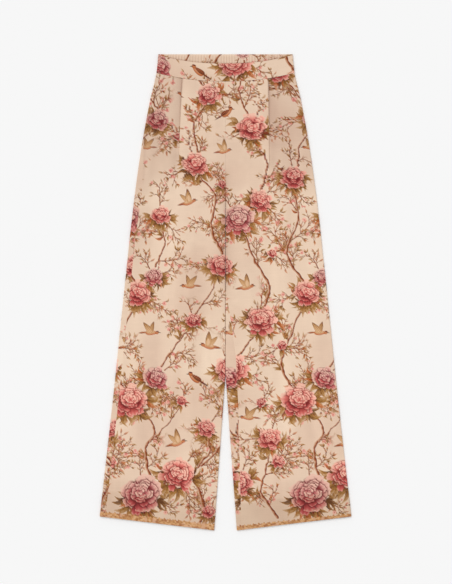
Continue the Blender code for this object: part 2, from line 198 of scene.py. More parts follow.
# Under the garment the cloth lies on the surface, and its creases are hollows over it.
BACK_CREASES = sided(Crease, [
    (0.06, 0.06, 0.072, 0.26, 0.012, 0.0007), (0.12, 0.08, 0.13, 0.3, 0.014, 0.0008),
    (0.02, 0.36, 0.09, 0.42, 0.011, 0.0007), (0.104, 0.34, 0.132, 0.76, 0.016, 0.001),
    (0.18, 0.46, 0.21, 0.98, 0.015, 0.0009), (0.07, 0.64, 0.082, 1.04, 0.014, 0.0009),
    (0.15, 0.8, 0.16, 1.06, 0.012, 0.0008), (0.236, 0.78, 0.256, 1.05, 0.011, 0.0007),
], [
    (0.052, 0.07, 0.06, 0.24, 0.012, 0.0007), (0.128, 0.07, 0.138, 0.33, 0.013, 0.0008),
    (0.024, 0.356, 0.084, 0.436, 0.011, 0.0007), (0.11, 0.36, 0.126, 0.7, 0.015, 0.001),
    (0.176, 0.52, 0.214, 1.01, 0.016, 0.0009), (0.08, 0.7, 0.096, 1.05, 0.013, 0.0009),
    (0.142, 0.76, 0.15, 1.04, 0.012, 0.0008), (0.226, 0.7, 0.25, 1.02, 0.011, 0.0007),
])

# Painted shade and painted highlight in strips on the front panels' cloth, along their folds, given as
# creases whose height is how much deeper their tone is; lighter where negative.
PAINTED_SHADING_STRIPS = sided(Crease, [
    (0.137, 0.04, 0.172, 0.116, 0.0034, 0.22), (0.142, 0.042, 0.177, 0.116, 0.004, -0.14),
    (0.174, 0.16, 0.187, 0.29, 0.013, -0.07), (0.182, 0.1, 0.214, 0.58, 0.046, 0.12),
    (0.12, 0.33, 0.132, 0.56, 0.015, -0.03), (0.07, 0.4, 0.082, 0.64, 0.012, 0.04),
    (0.16, 0.62, 0.178, 0.9, 0.016, 0.03), (0.1, 0.7, 0.112, 0.98, 0.012, -0.03),
], [
    (0.08, 0.26, 0.088, 0.5, 0.013, -0.03), (0.14, 0.32, 0.16, 0.58, 0.015, 0.04),
    (0.19, 0.42, 0.212, 0.7, 0.012, -0.03), (0.11, 0.6, 0.124, 0.9, 0.015, 0.03),
    (0.2, 0.76, 0.224, 1.02, 0.014, -0.03),
])

# ---- the print

REPEAT = 0.39  # width of the print's repeat
PRINT_DEPTH = 1.13  # the cloth's width, from the border at the hems up to the waist
INK_CELL = REPEAT / 20
# Places in the repeat of the centre lines, and of the waistbands' middles and lower edges.
FRONT_START = 0.270
BACK_START = 0.115
FRONT_BAND_START = (0.262, 0.330)
BACK_BAND_START = (0.060, 0.540)
INK_EDGE = 0.0016  # how softly the ink ends
PETAL_EDGE = 0.0011

Bloom = namedtuple("Bloom", "along up radius ink lean")
BLOOMS = listed(Bloom, [
    (0.076, 0.084, 0.053, "mauve", 1.9), (0.16, 0.13, 0.045, "coral", 1.3),
    (0.3, 0.11, 0.038, "rose", 1.7), (0.372, 0.212, 0.03, "coral", 1.2),
    (0.226, 0.236, 0.025, "rose", 1.1), (0.05, 0.3, 0.046, "coral", 1.5),
    (0.108, 0.352, 0.033, "mauve", 1.0), (0.282, 0.372, 0.041, "coral", 1.8),
    (0.352, 0.486, 0.04, "coral", 1.5), (0.196, 0.486, 0.021, "rose", 1.6),
    (0.068, 0.548, 0.035, "coral", 1.3), (0.104, 0.586, 0.025, "mauve", 2.0),
    (0.258, 0.612, 0.032, "rose", 1.4), (0.3, 0.72, 0.04, "mauve", 1.7),
    (0.35, 0.762, 0.03, "coral", 1.2), (0.12, 0.728, 0.026, "coral", 1.6),
    (0.036, 0.816, 0.032, "rose", 1.3), (0.2, 0.846, 0.034, "coral", 1.5),
    (0.33, 0.93, 0.038, "coral", 1.6), (0.098, 0.948, 0.029, "mauve", 1.2),
    (0.23, 1.006, 0.03, "rose", 1.8), (0.03, 1.06, 0.029, "coral", 1.4),
    (0.15, 1.09, 0.025, "mauve", 1.5), (0.33, 1.09, 0.028, "rose", 1.5),
    (0.232, 0.044, 0.019, "rose", 1.5), (0.002, 0.16, 0.019, "coral", 1.0),
    (0.168, 0.3, 0.014, "coral", 1.2), (0.352, 0.296, 0.014, "rose", 2.0),
    (0.01, 0.428, 0.014, "rose", 1.9), (0.378, 0.64, 0.013, "coral", 1.0),
    (0.262, 0.8, 0.012, "rose", 1.0), (0.15, 0.91, 0.012, "rose", 1.4),
])
SMALL_BLOOM = 0.020  # under this radius a bloom has fewer leaves

Limb = namedtuple("Limb", "points start end")
LIMBS = listed(Limb, [
    ([(0.205, -0.01), (0.218, 0.06), (0.196, 0.13), (0.232, 0.18), (0.226, 0.225)], 0.0085, 0.0035),
    ([(0.214, 0.15), (0.262, 0.2), (0.264, 0.28), (0.285, 0.35)], 0.0048, 0.003),
    ([(0.39, 0.03), (0.352, 0.09), (0.366, 0.15), (0.372, 0.2)], 0.006, 0.003),
    ([(0.098, 0.115), (0.084, 0.18), (0.106, 0.235), (0.07, 0.28)], 0.007, 0.0035),
    ([(0.096, 0.205), (0.14, 0.25), (0.166, 0.29)], 0.0036, 0.0018),
    ([(0.116, 0.37), (0.15, 0.42), (0.172, 0.45), (0.192, 0.48)], 0.0045, 0.0024),
    ([(0.036, 0.32), (0.01, 0.385), (0.03, 0.45), (0.06, 0.52)], 0.0062, 0.0034),
    ([(0.29, 0.395), (0.322, 0.43), (0.348, 0.47)], 0.0052, 0.0034),
    ([(0.352, 0.5), (0.372, 0.56), (0.34, 0.62), (0.312, 0.69)], 0.0074, 0.0034),
    ([(0.2, 0.5), (0.232, 0.545), (0.254, 0.59)], 0.004, 0.0022),
    ([(0.108, 0.61), (0.128, 0.66), (0.122, 0.71)], 0.0044, 0.0024),
    ([(0.262, 0.64), (0.236, 0.7), (0.246, 0.77), (0.206, 0.82)], 0.0064, 0.0032),
    ([(0.06, 0.575), (0.022, 0.64), (0.046, 0.72), (0.036, 0.79)], 0.006, 0.003),
    ([(0.352, 0.79), (0.366, 0.845), (0.336, 0.9)], 0.0054, 0.003),
    ([(0.046, 0.84), (0.06, 0.89), (0.096, 0.93)], 0.0046, 0.0026),
    ([(0.208, 0.87), (0.196, 0.93), (0.226, 0.99)], 0.005, 0.0026),
    ([(0.322, 0.96), (0.3, 1.02), (0.326, 1.075)], 0.0044, 0.0024),
    ([(0.096, 0.97), (0.066, 1.01), (0.034, 1.045)], 0.004, 0.0022),
    ([(0.226, 1.02), (0.19, 1.06), (0.155, 1.08)], 0.0036, 0.002),
])

# A bird is a few ovals in its own length: centre, half sizes, turn, how much it narrows to its end, ink,
# tone, how much lighter it gets to its end, and feather lines.
Oval = namedtuple("Oval", "x y length width turn taper ink tone fade feathers", defaults=(0.0, 0.0))
FLYING = listed(Oval, [
    (-0.38, -0.12, 0.21, 0.04, 0.3, 0.0, "wing", 0.72, 0.1),
    (-0.36, -0.17, 0.21, 0.036, 0.05, 0.0, "wing", 0.6, 0.1),
    (-0.22, 0.14, 0.3, 0.11, 2.35, 0.4, "bird", 0.66, -0.2, 0.12),
    (-0.02, -0.1, 0.29, 0.12, 0.2, 0.2, "rust", 0.84),
    (-0.04, -0.05, 0.24, 0.07, 0.2, 0.2, "bird", 0.92),
    (-0.02, 0.25, 0.35, 0.135, 1.62, 0.45, "bird", 0.52, -0.34, 0.16),
    (0.01, 0.1, 0.19, 0.095, 1.7, 0.2, "bird", 0.95),
    (0.25, -0.02, 0.095, 0.08, 0.2, 0.0, "rust", 0.74),
    (0.27, 0.04, 0.07, 0.032, 0.2, 0.0, "wing", 0.34),
    (0.37, -0.02, 0.06, 0.022, -0.15, 0.3, "beak", 0.5),
])
GLIDING = listed(Oval, [
    (-0.39, 0.02, 0.2, 0.045, 0.0, 0.0, "wing", 0.68, 0.1),
    (0.06, 0.22, 0.3, 0.115, 1.15, 0.45, "bird", 0.5, -0.3, 0.14),
    (0.0, -0.03, 0.28, 0.115, -0.08, 0.2, "rust", 0.84),
    (-0.02, 0.01, 0.22, 0.07, -0.08, 0.2, "bird", 0.9),
    (-0.14, 0.22, 0.34, 0.125, 2.15, 0.45, "bird", 0.6, -0.32, 0.16),
    (0.28, -0.05, 0.09, 0.078, 0.2, 0.0, "rust", 0.74),
    (0.3, 0.0, 0.07, 0.032, 0.0, 0.0, "wing", 0.34),
    (0.4, -0.06, 0.06, 0.022, -0.25, 0.3, "beak", 0.5),
])
PERCHED = listed(Oval, [
    (-0.4, -0.26, 0.28, 0.045, 0.55, 0.0, "wing", 0.25, 0.1),
    (0.02, -0.03, 0.33, 0.16, 0.62, 0.2, "rust", 0.78, 0.1),
    (-0.07, 0.01, 0.3, 0.11, 0.58, 0.3, "wing", 0.42, 0.15, 0.25),
    (0.25, 0.22, 0.12, 0.105, 0.2, 0.0, "rust", 0.7),
    (0.24, 0.29, 0.1, 0.045, 0.2, 0.0, "wing", 0.3),
    (0.39, 0.21, 0.07, 0.025, -0.15, 0.3, "beak", 0.5),
])
Bird = namedtuple("Bird", "along up size facing tilt ovals")
BIRDS = listed(Bird, [
    (0.16, 0.206, 0.05, 1, 0.1, FLYING), (0.322, 0.262, 0.048, -1, 0.15, GLIDING),
    (0.23, 0.43, 0.05, -1, 0.0, FLYING), (0.098, 0.458, 0.048, 1, 0.1, GLIDING),
    (0.186, 0.566, 0.048, -1, 0.1, GLIDING), (0.32, 0.566, 0.046, 1, 0.0, FLYING),
    (0.186, 0.762, 0.046, 1, 0.1, FLYING), (0.08, 0.886, 0.042, -1, 0.1, GLIDING),
    (0.268, 0.88, 0.042, 1, 0.0, FLYING), (0.15, 1.01, 0.04, -1, 0.1, FLYING),
    (0.262, 0.036, 0.046, 1, 0.0, PERCHED), (0.2, 0.352, 0.044, -1, 0.0, PERCHED),
    (0.272, 0.965, 0.04, 1, 0.0, PERCHED),
])


# ---- shared arithmetic

TURN = 2 * np.pi


def eased(value, low=0.0, high=1.0):
    """0 below low, 1 above high, and a smooth rise between."""
    share = np.clip((value - low) / (high - low), 0.0, 1.0)
    return share * share * (3.0 - 2.0 * share)


def faded(value, low=0.0, high=1.0):
    """1 below low, 0 above high, and a smooth fall between."""
    return 1.0 - eased(value, low, high)


def mixed(under, over, share):
    """Values with a share of others laid over them."""
    return under * (1.0 - share) + over * share


def aligned(x, y, angle):
    """Places along and across a direction."""
    c, s = np.cos(angle), np.sin(angle)
    return x * c + y * s, -x * s + y * c


def stepped(place, angle, distance):
    """The place that lies a distance away in a direction."""
    return place + np.array([np.cos(angle), np.sin(angle)]) * distance


def added_up(steps):
    """How far a line has run at each of its points."""
    return np.concatenate([[0.0], np.cumsum(steps)])


def colour(red, green, blue):
    """A display colour, 0 to 255, as linear light."""
    value = np.array([red, green, blue]) / 255.0
    light = np.where(value <= 0.04045, value / 12.92, ((value + 0.055) / 1.055) ** 2.4)
    return tuple(float(part) for part in light)


# ---- sizes, inks and light to change


def number(name, description, default, **options):
    return FloatProperty(name=name, description=description, default=default, **options)


def size(name, description, default, **limits):
    return number(name, description, default, unit="LENGTH", subtype="DISTANCE", precision=5, **limits)


def amount(name, description, default, most=0.5):
    return number(name, description, default, min=0.0, max=most, subtype="FACTOR")


def degrees(name, description, default, **limits):
    return number(name, description, np.radians(default), unit="ROTATION", subtype="ANGLE", **limits)


def ink(name, description, red, green, blue):
    return FloatVectorProperty(name=name, description=description, default=colour(red, green, blue), size=3,
                               min=0.0, max=1.0, subtype="COLOR")


class PantsSizes(PropertyGroup):
    """Sizes of the cloth and of its sewing, and how much its tone changes, mostly by painted shade and
    highlight.
    """

    cloth: size("Cloth", "Thickness of the printed cloth", 0.0005, min=0.0002, max=0.0008)
    pleat_radius: size("Pleat radius", "Middle line of the cloth round a pleat's fold", 0.00048, min=0.0004)
    pleat_crevice: size("Pleat crevice", "How far the cloth dips beside a pleat's edge", 0.0006)
    hem_depth: size("Hem depth", "Cloth turned up inside each hem", 0.060)
    hem_rise: size("Hem rise", "How much the turned-up cloth lifts the hem", 0.00025)
    seam_groove: size("Seam groove", "How deep the cloth dips along a seam", 0.00034)
    seam_width: size("Seam width", "Distance over which the cloth dips along a seam", 0.0020)
    seam_pucker: size("Seam pucker", "Height of the small waves along a seam", 0.00016)
    band_edge: size("Band edge", "Radius of the waistbands' turned edges", 0.0010)
    gather_height: size("Gather height", "Height of the gathers drawn up by the elastic", 0.0012)
    # Painted shade between the gathers, also used along the front waistband's top
    gather_tone: amount("Gather tone", "How much deeper the cloth's tone is between the gathers", 0.17)
    under_gather: size("Gathers below", "Hollow of the same gathers against the surface", 0.0004)
    unevenness: size("Unevenness", "Slow waves of the cloth as it lies", 0.00035)
    stitch: size("Stitch", "Length of one hem stitch", 0.0023)
    stitch_gap: size("Stitch gap", "Distance between two hem stitches", 0.0014)
    thread: size("Thread", "Radius of the hem thread", 0.00020)
    yarn: size("Yarn", "Distance between two yarns of the weave", 0.0009, min=0.0003)
    creases: amount("Creases", "Strength of the fine creases", 1.0, most=2.0)
    # Painted shade in the front panels' hollows and painted highlight on their rises, for each millimetre of
    # depth or height
    pressed: number("Hollow shading", "How much deeper the cloth's tone is for each millimetre of hollow",
                    0.052, min=0.0, max=0.2)
    # Painted shadow along each pleat's edge
    pleat_tone: amount("Pleat tone", "How much deeper it is in a painted shadow along a pleat's edge", 0.24)
    # Painted shade over the hips, outside the pleats
    hip_tone: amount("Hip tone", "How much deeper it is over the hips, outside the pleats", 0.115)
    # Painted shade down the middle, at and below the crotch
    centre_tone: amount("Centre tone", "How much deeper it is down the middle, at and below the crotch", 0.15)
    # Deeper tone over the hem's turned-up depth, fainter for a little way above it
    hem_tone: amount("Hem tone", "How much deeper it is where the hem is doubled", 0.085)
    # Painted shade on the waistbands and on the cloth just below them
    top_tone: amount("Top tone", "How much deeper it is on and below the waistband", 0.055)


class PrintInks(PropertyGroup):
    """Colours of the print, each the middle of its range from shade to light."""

    paper: ink("Paper", "Ground of the print", 231, 203, 178)
    cream: ink("Cream", "Yellowish clouds on the ground", 238, 212, 187)
    blush: ink("Blush", "Pinkish clouds on the ground", 223, 192, 168)
    coral: ink("Coral", "Coral peonies", 222, 122, 110)
    mauve: ink("Mauve", "Mauve peonies", 192, 114, 112)
    rose: ink("Rose", "Rose peonies and buds", 212, 112, 103)
    wine: ink("Wine", "Shaded petals of every peony", 184, 68, 66)
    leaf: ink("Leaf", "Olive leaves", 168, 118, 60)
    rust: ink("Rust", "Rust-coloured young leaves", 188, 104, 48)
    bark: ink("Bark", "Branches and twigs", 154, 80, 32)
    bird: ink("Bird", "Golden tan of the birds", 200, 152, 104)
    wing: ink("Wing", "Brown of wings and caps", 160, 87, 44)
    beak: ink("Beak", "Beaks and eyes", 84, 60, 48)
    gilt: ink("Gilt", "Border along the hems", 216, 160, 104)
    gilt_shade: ink("Gilt shade", "Scrolls of the border", 172, 106, 62)
    thread: ink("Thread", "Hem thread", 214, 184, 152)


class StageLight(PropertyGroup):
    """The camera's height and the studio's light."""

    camera_height: size("Camera height", "Camera above the garment", 6.0, min=2.0)
    picture_height: size("Picture height", "Stretch of floor from the picture's top to its foot", 1.3500)
    sky: number("Sky", "Brightness of the even light from all round", 0.70, min=0.0)
    key: number("Key light", "Strength of the far, wide light from the side", 1.111, min=0.0)
    key_height: degrees("Key height", "Angle of the key light over the floor", 58.0, min=0.1, max=1.57)
    key_turn: degrees("Key turn", "Where the key light stands, from the waist's side", 38.0)
    key_width: degrees("Key width", "How wide the key light looks from the floor", 44.0, min=0.0, max=3.0)
    floor: ink("Floor", "Pale studio floor", 247, 247, 247)


# ---- painting the print


PINKS = ("coral", "mauve", "rose", "wine")
WARMTH = np.array([1.02, 1.0, 0.95])  # of the light washes of every other ink
PINK_LIGHT = 1.09
# Share and power of the middle colour that give an ink's two deeper shades.
PINK_SHADES = ((0.42, 1.70), (0.76, 1.25))
BROWN_SHADES = ((0.54, 1.52), (0.78, 1.18))
WASHES = ((1.04, 0.30), (1.10, 0.56))  # how much lighter each is, and how far towards the paper
DEEP, MIDDLE, PALE, PALEST = 1, 2, 3, 4  # steps of an ink's ramp


def ramp(middle, paper, warmth, shades):
    """An ink from its deepest shade to its lightest wash."""
    middle, paper = np.array(middle), np.array(paper)
    deeper = [share * middle**power for share, power in shades]
    lighter = [light * (middle + (paper - middle) * share) * warmth for light, share in WASHES]
    return np.array([*deeper, middle, *lighter])


def toned(inks, tone):
    """Colours of a ramp at tones from 0, shade, to 1, light."""
    place = np.clip(tone, 0.0, 1.0) * (len(inks) - 1)
    step = np.minimum(place.astype(int), len(inks) - 2)
    return mixed(inks[step], inks[step + 1], (place - step)[:, None])


def clouds(along, up, width, seed):
    """Smooth random values, 0 to 1, that repeat with the print."""
    across, rows = max(round(REPEAT / width), 1), max(round(PRINT_DEPTH / width), 1)
    values = np.random.default_rng(seed).random((across, rows))
    x, y = along / REPEAT * across, up / PRINT_DEPTH * rows
    i, j = np.floor(x).astype(int), np.floor(y).astype(int)

    def on_row(row):
        return mixed(values[i % across, row % rows], values[(i + 1) % across, row % rows], eased(x - i))

    return mixed(on_row(j), on_row(j + 1), eased(y - j))


class InkedCloth:
    """Points of cloth by their place in the print, and the ink laid on them so far."""

    def __init__(self, along, up, above_hem, border, inks):
        self.along = np.mod(along, REPEAT)
        self.up = np.clip(up, 0.0, PRINT_DEPTH - 1e-6)
        self.above_hem, self.border = above_hem, border
        self.inks = {}
        for name in PrintInks.__annotations__:
            look = (PINK_LIGHT, PINK_SHADES) if name in PINKS else (WARMTH, BROWN_SHADES)
            self.inks[name] = ramp(getattr(inks, name), inks.paper, *look)
        self.laid = np.zeros((len(along), 3))
        self.across = round(REPEAT / INK_CELL)
        self.rows = int(np.ceil(PRINT_DEPTH / INK_CELL))
        cell_across = np.minimum((self.along / INK_CELL).astype(int), self.across - 1)
        cell = (self.up / INK_CELL).astype(int) * self.across + cell_across
        self.order = np.argsort(cell, kind="stable")
        self.first = np.searchsorted(cell[self.order], np.arange(self.across * self.rows + 1))

    def near(self, place, reach, reach_up=None):
        """Points within reach of a place, and how far they lie from it."""
        along, up = place
        reach_up = reach if reach_up is None else reach_up
        low = max(int((up - reach_up) // INK_CELL), 0)
        high = min(int((up + reach_up) // INK_CELL), self.rows - 1)
        columns = range(int((along - reach) // INK_CELL), int((along + reach) // INK_CELL) + 1)
        cells = [row * self.across + c % self.across for row in range(low, high + 1) for c in columns]
        spans = [self.order[self.first[k] : self.first[k + 1]] for k in cells]
        found = np.concatenate(spans) if spans else np.zeros(0, int)
        x = self.along[found] - along
        x -= REPEAT * np.round(x / REPEAT)
        y = self.up[found] - up
        inside = (np.abs(x) < reach) & (np.abs(y) < reach_up)
        return found[inside], x[inside], y[inside]

    def lay(self, found, ink_colour, cover):
        self.laid[found] = mixed(self.laid[found], ink_colour, cover[:, None])


GROUND_CLOUDS = (("cream", 0.13, 3, 0.9), ("blush", 0.10, 5, 1.0), ("blush", 0.05, 8, 0.5))
CLOUD_EDGE = (0.40, 0.95)
MOTTLE, MOTTLE_SEED = 0.012, 7


def lay_ground(cloth):
    """The pale ground, with soft cream and blush clouds."""
    laid = np.ones((len(cloth.along), 1)) * cloth.inks["paper"][MIDDLE]
    for name, width, seed, strength in GROUND_CLOUDS:
        share = eased(clouds(cloth.along, cloth.up, width, seed), *CLOUD_EDGE)[:, None] * strength
        laid = mixed(laid, cloth.inks[name][MIDDLE], share)
    cloth.laid = laid * (0.98 + 0.04 * clouds(cloth.along, cloth.up, MOTTLE, MOTTLE_SEED))[:, None]


# Where a petal's ink may lie: over its half length from its root and its tip, and its half width.
PETAL_SPAN = (-1.5, 1.7)
PETAL_SHADOW = 0.78  # strength of the shadow it throws on what it covers
SHADOW_REACH = 0.34
SHADOW_END = (0.70, 0.92)  # of the peony's radius, over which such shadows fade


def lay_petal(cloth, found, x, y, root, angle, length, width, inks, tone, draw, radius, strength):
    """A petal from its root: dark there, light along its ruffled tip, with a shadow on what it covers."""
    ruffles, phases, streak_pitch = draw.integers(4, 7), draw.uniform(0, TURN, 3), draw.uniform(30, 46)
    along, across = aligned(x - root[0], y - root[1], angle)
    p = along / length * 2.0 - 1.0
    q = across / (width * (0.86 + 0.26 * np.clip(p, -1.0, 1.0)))
    near = (p > PETAL_SPAN[0]) & (p < PETAL_SPAN[1]) & (np.abs(q) < PETAL_SPAN[1])
    if not near.any():
        return
    found, p, q, across = found[near], p[near], q[near], across[near]
    from_heart = np.hypot(x[near], y[near])
    around = np.arctan2(q, p)
    ruffle = 0.08 * np.cos(around * ruffles + phases[0]) + 0.05 * np.cos(around * 9 + phases[1])
    out = np.hypot(p, q) * (1.0 + ruffle) - 1.0
    soft = max(PETAL_EDGE / (radius * min(length / 2, width)), 0.08)
    shadow = PETAL_SHADOW * faded(out, 0.0, SHADOW_REACH) * faded(from_heart, *SHADOW_END) * strength
    cloth.lay(found, mixed(inks[0], inks[DEEP], 0.2), shadow)
    streaks = 0.06 * np.sin(across * streak_pitch + phases[2]) * eased(p, -0.8, 0.4)
    light = 0.44 * eased(p, -0.60, 0.80) - 0.12 + 0.16 * eased(out, -0.32, -0.05) * eased(p, -0.1, 0.6)
    cover = faded(out, -soft * 0.8, soft * 0.35) * strength
    cloth.lay(found, toned(inks, tone + light + streaks), cover)


# A peony's rings of petals in its own radius, from its skirt in to its cup: how far out their tips
# reach, the petals' length, half width and number, and their tone.
SKIRT_RINGS = [
    (1.00, 0.54, 0.240, 9, 0.50), (0.85, 0.50, 0.270, 8, 0.46), (0.71, 0.42, 0.250, 7, 0.36),
]
CUP_RINGS = [
    (0.52, 0.42, 0.270, 5, 0.44), (0.41, 0.36, 0.230, 4, 0.52), (0.29, 0.26, 0.175, 4, 0.56),
    (0.16, 0.18, 0.110, 3, 0.64),
]
HEART = np.array([0.02, 0.15])
HOLLOW = (0.60, 0.50)  # reach and height of the shade between the cup and the skirt
HOLLOW_DROP = 0.16  # of that shade's middle below the heart
LIT_FROM = np.radians(70.0)  # where every peony is lightest, counterclockwise from its right
WASHED_FROM = np.radians(140.0)  # where its skirt fades into the ground
FLATNESS = 0.87  # a peony's height over its width
FULL_RADIUS = 0.04  # of a peony with nearly all of its petals


def lay_ring(cloth, found, x, y, ring, bloom, lean, draw):
    """One ring of a peony's petals."""
    tip, length, width, full_count, ring_tone = ring
    fullness = 0.60 + 0.40 * min(bloom.radius / FULL_RADIUS, 1.1)
    count = max(int(full_count * fullness), 3)
    start = draw.uniform(0, TURN)
    uneven = 0.14 if tip > 0.8 else 0.09
    for k in draw.permutation(count):
        angle = start + (k + draw.uniform(-0.3, 0.3)) * TURN / count
        reach = tip * draw.uniform(0.98 - uneven, 0.98 + uneven)
        root = stepped(HEART * (1.0 - tip), angle, reach - length)
        lit = np.cos(angle + lean - LIT_FROM)
        wine = np.clip((0.22 - 0.55 * lit) * eased(tip, 0.15, 0.5) + draw.uniform(-0.25, 0.25), 0.0, 0.80)
        tone = ring_tone + 0.18 * lit * eased(tip, 0.2, 0.6) + draw.uniform(-0.13, 0.13)
        washed = 0.30 * eased(tip, 0.72, 1.0) * eased(np.cos(angle + lean - WASHED_FROM), -0.2, 1.0)
        way, half_width = angle + draw.uniform(-0.35, 0.35), width * draw.uniform(0.80, 1.15)
        inks = mixed(cloth.inks[bloom.ink], cloth.inks["wine"], wine)
        lay_petal(cloth, found, x, y, root, way, length, half_width, inks, tone + washed, draw,
                  bloom.radius, 1.0 - washed)


def lay_peony(cloth, bloom, seed):
    """A full peony: a skirt of wide ruffled petals, and a cup of closer ones over a wine-coloured hollow.
    It is light on top, and wine-coloured between its lower petals."""
    draw = np.random.default_rng(seed)
    found, x, y = cloth.near((bloom.along, bloom.up), bloom.radius * 1.25)
    if not len(found):
        return
    lean = bloom.lean - np.pi / 2
    x, y = aligned(x, y, lean)
    x, y = x / bloom.radius, y / bloom.radius / FLATNESS
    cloth.lay(found, cloth.inks[bloom.ink][DEEP], faded(np.hypot(x, y), 0.62, 0.80))
    for ring in SKIRT_RINGS:
        lay_ring(cloth, found, x, y, ring, bloom, lean, draw)
    hollow = np.hypot((x - HEART[0]) / HOLLOW[0], (y - HEART[1] + HOLLOW_DROP) / HOLLOW[1])
    wine = cloth.inks["wine"]
    cloth.lay(found, mixed(wine[0], wine[DEEP], 0.4), 0.88 * faded(hollow, 0.72, 1.05))
    for ring in CUP_RINGS:
        lay_ring(cloth, found, x, y, ring, bloom, lean, draw)


VEIN = 0.0012  # half width of a leaf's vein
BROADEST = 0.75  # under 1 where a leaf is broadest nearer to its stalk


def lay_leaf(cloth, place, angle, length, name, draw, width, strength=0.92, deep=0.0):
    """A pointed leaf with a dark vein, from its stalk."""
    bend, tone = draw.uniform(-0.26, 0.26), draw.uniform(-0.12, 0.12) - deep
    found, x, y = cloth.near(stepped(place, angle, length / 2), length * 0.6 + 0.001)
    if not len(found):
        return
    ahead, aside = aligned(x, y, angle)
    share = ahead / length + 0.5
    inside = np.clip(share, 0.0, 1.0)
    side = aside / length - bend * np.sin(np.pi * inside)
    half = width * 0.5 * np.sin(np.pi * inside**BROADEST)
    beyond = np.maximum(np.maximum(-share, share - 1.0), 0.0)
    over = np.abs(side) - half
    out = np.where(over < 0.0, over, np.hypot(over, beyond)) * length
    vein = faded(np.abs(side) * length, 0.0, VEIN)
    ribs = 0.07 * np.sin((share * 8 + np.abs(side) * 10) * np.pi)
    light = 0.10 + 0.16 * (side > 0) + 0.72 * share + ribs - 0.20 * vein * (1.0 - share)
    cover = faded(out, -0.55 * INK_EDGE, 0.5 * INK_EDGE) * strength
    cloth.lay(found, toned(cloth.inks[name], light + tone), cover)


def lay_dot(cloth, place, radius, ink_colour, strength):
    found, x, y = cloth.near(place, radius + INK_EDGE)
    if len(found):
        out = np.hypot(x, y) - radius
        cloth.lay(found, ink_colour, faded(out, -0.5 * INK_EDGE, 0.6 * INK_EDGE) * strength)


def smooth_line(points, steps=6):
    """A smooth line through a few points."""
    points = np.asarray(points, float)
    last = len(points) - 1
    at = np.linspace(0, last, steps * last + 1)
    i = np.clip(at.astype(int), 0, last - 1)
    t = (at - i)[:, None]
    a, b = points[i], points[i + 1]
    leave, arrive = (b - points[np.maximum(i - 1, 0)]) / 2, (points[np.minimum(i + 2, last)] - a) / 2
    rise = eased(t)
    return a * (1 - rise) + b * rise + t * (1 - t) ** 2 * leave + t**2 * (t - 1) * arrive


CROOKEDNESS = 0.0022


def crooked(line, draw):
    """A line with the small bends of a living branch."""
    bends = np.array([draw.uniform(-1.0, 1.0, 2) for _ in line]) * CROOKEDNESS
    bends[0] = bends[-1] = 0.0
    return line + bends


# How a branch's width goes up and down along it: share, pitch and phase.
KNOTS = ((0.14, 31, 0), (0.10, 74, 1))


def lay_stroke(cloth, line, start, end, tone, strength):
    """A tapering and knotty stroke of bark along a line, light on one side."""
    low, high = line.min(0), line.max(0)
    middle, reach = (low + high) / 2, (high - low) / 2 + start / 2 + INK_EDGE
    found, x, y = cloth.near(middle, *reach)
    if not len(found):
        return
    nearest, side, share = np.full(len(found), 1e9), np.zeros(len(found)), np.zeros(len(found))
    for k in range(len(line) - 1):
        ahead = line[k + 1] - line[k]
        length = max(np.hypot(*ahead), 1e-9)
        px, py = x - (line[k] - middle)[0], y - (line[k] - middle)[1]
        t = np.clip((px * ahead[0] + py * ahead[1]) / length**2, 0.0, 1.0)
        away = np.hypot(px - t * ahead[0], py - t * ahead[1])
        closer = away < nearest
        nearest = np.where(closer, away, nearest)
        side = np.where(closer, (ahead[0] * py - ahead[1] * px) / length, side)
        share = np.where(closer, (k + t) / (len(line) - 1), share)
    knots = sum(swell * np.sin(share * pitch + phase) for swell, pitch, phase in KNOTS)
    half = (start + (end - start) * share) / 2 * (1.0 + knots)
    fine = np.clip(half * 2 / (INK_EDGE * 0.6), 0.35, 1.0)
    cover = faded(nearest - half, -0.45 * INK_EDGE, 0.6 * INK_EDGE) * fine
    light = tone + 0.42 * np.clip(side / np.maximum(half, 4e-4), -1.0, 1.0) + 0.10 * np.sin(share * 90)
    cloth.lay(found, toned(cloth.inks["bark"], light), cover * strength)


TWIG_WIDTHS = (0.0029, 0.0020, 0.0015)
TWIG_END = 0.0008
TWIG_TONE = 0.44
LEAF_STEP = 0.0092  # along a twig, from leaf to leaf
TWIG_LEAVES = (0.0055, 0.0115)  # their lengths
TWIG_LEAF_WIDTH = 0.34
LONG_TWIG = 0.060
# What is at a side twig's tip: a blossom below the first share, then a bud, then a fan of leaves.
TIPS = (0.12, 0.26, 0.50)
BUD = 0.0012
BLOSSOM_PETALS = 5


def lay_blossom(cloth, place, radius, draw):
    """A small pale blossom."""
    start = draw.uniform(0, TURN)
    for k in range(BLOSSOM_PETALS):
        tint = toned(cloth.inks["rose"], np.array([draw.uniform(0.55, 0.98)]))[0]
        petal = stepped(place, start + k * TURN / BLOSSOM_PETALS, radius * 0.6)
        lay_dot(cloth, petal, radius * 0.5, tint, 0.8)
    lay_dot(cloth, place, radius * 0.25, cloth.inks["wine"][DEEP], 0.6)


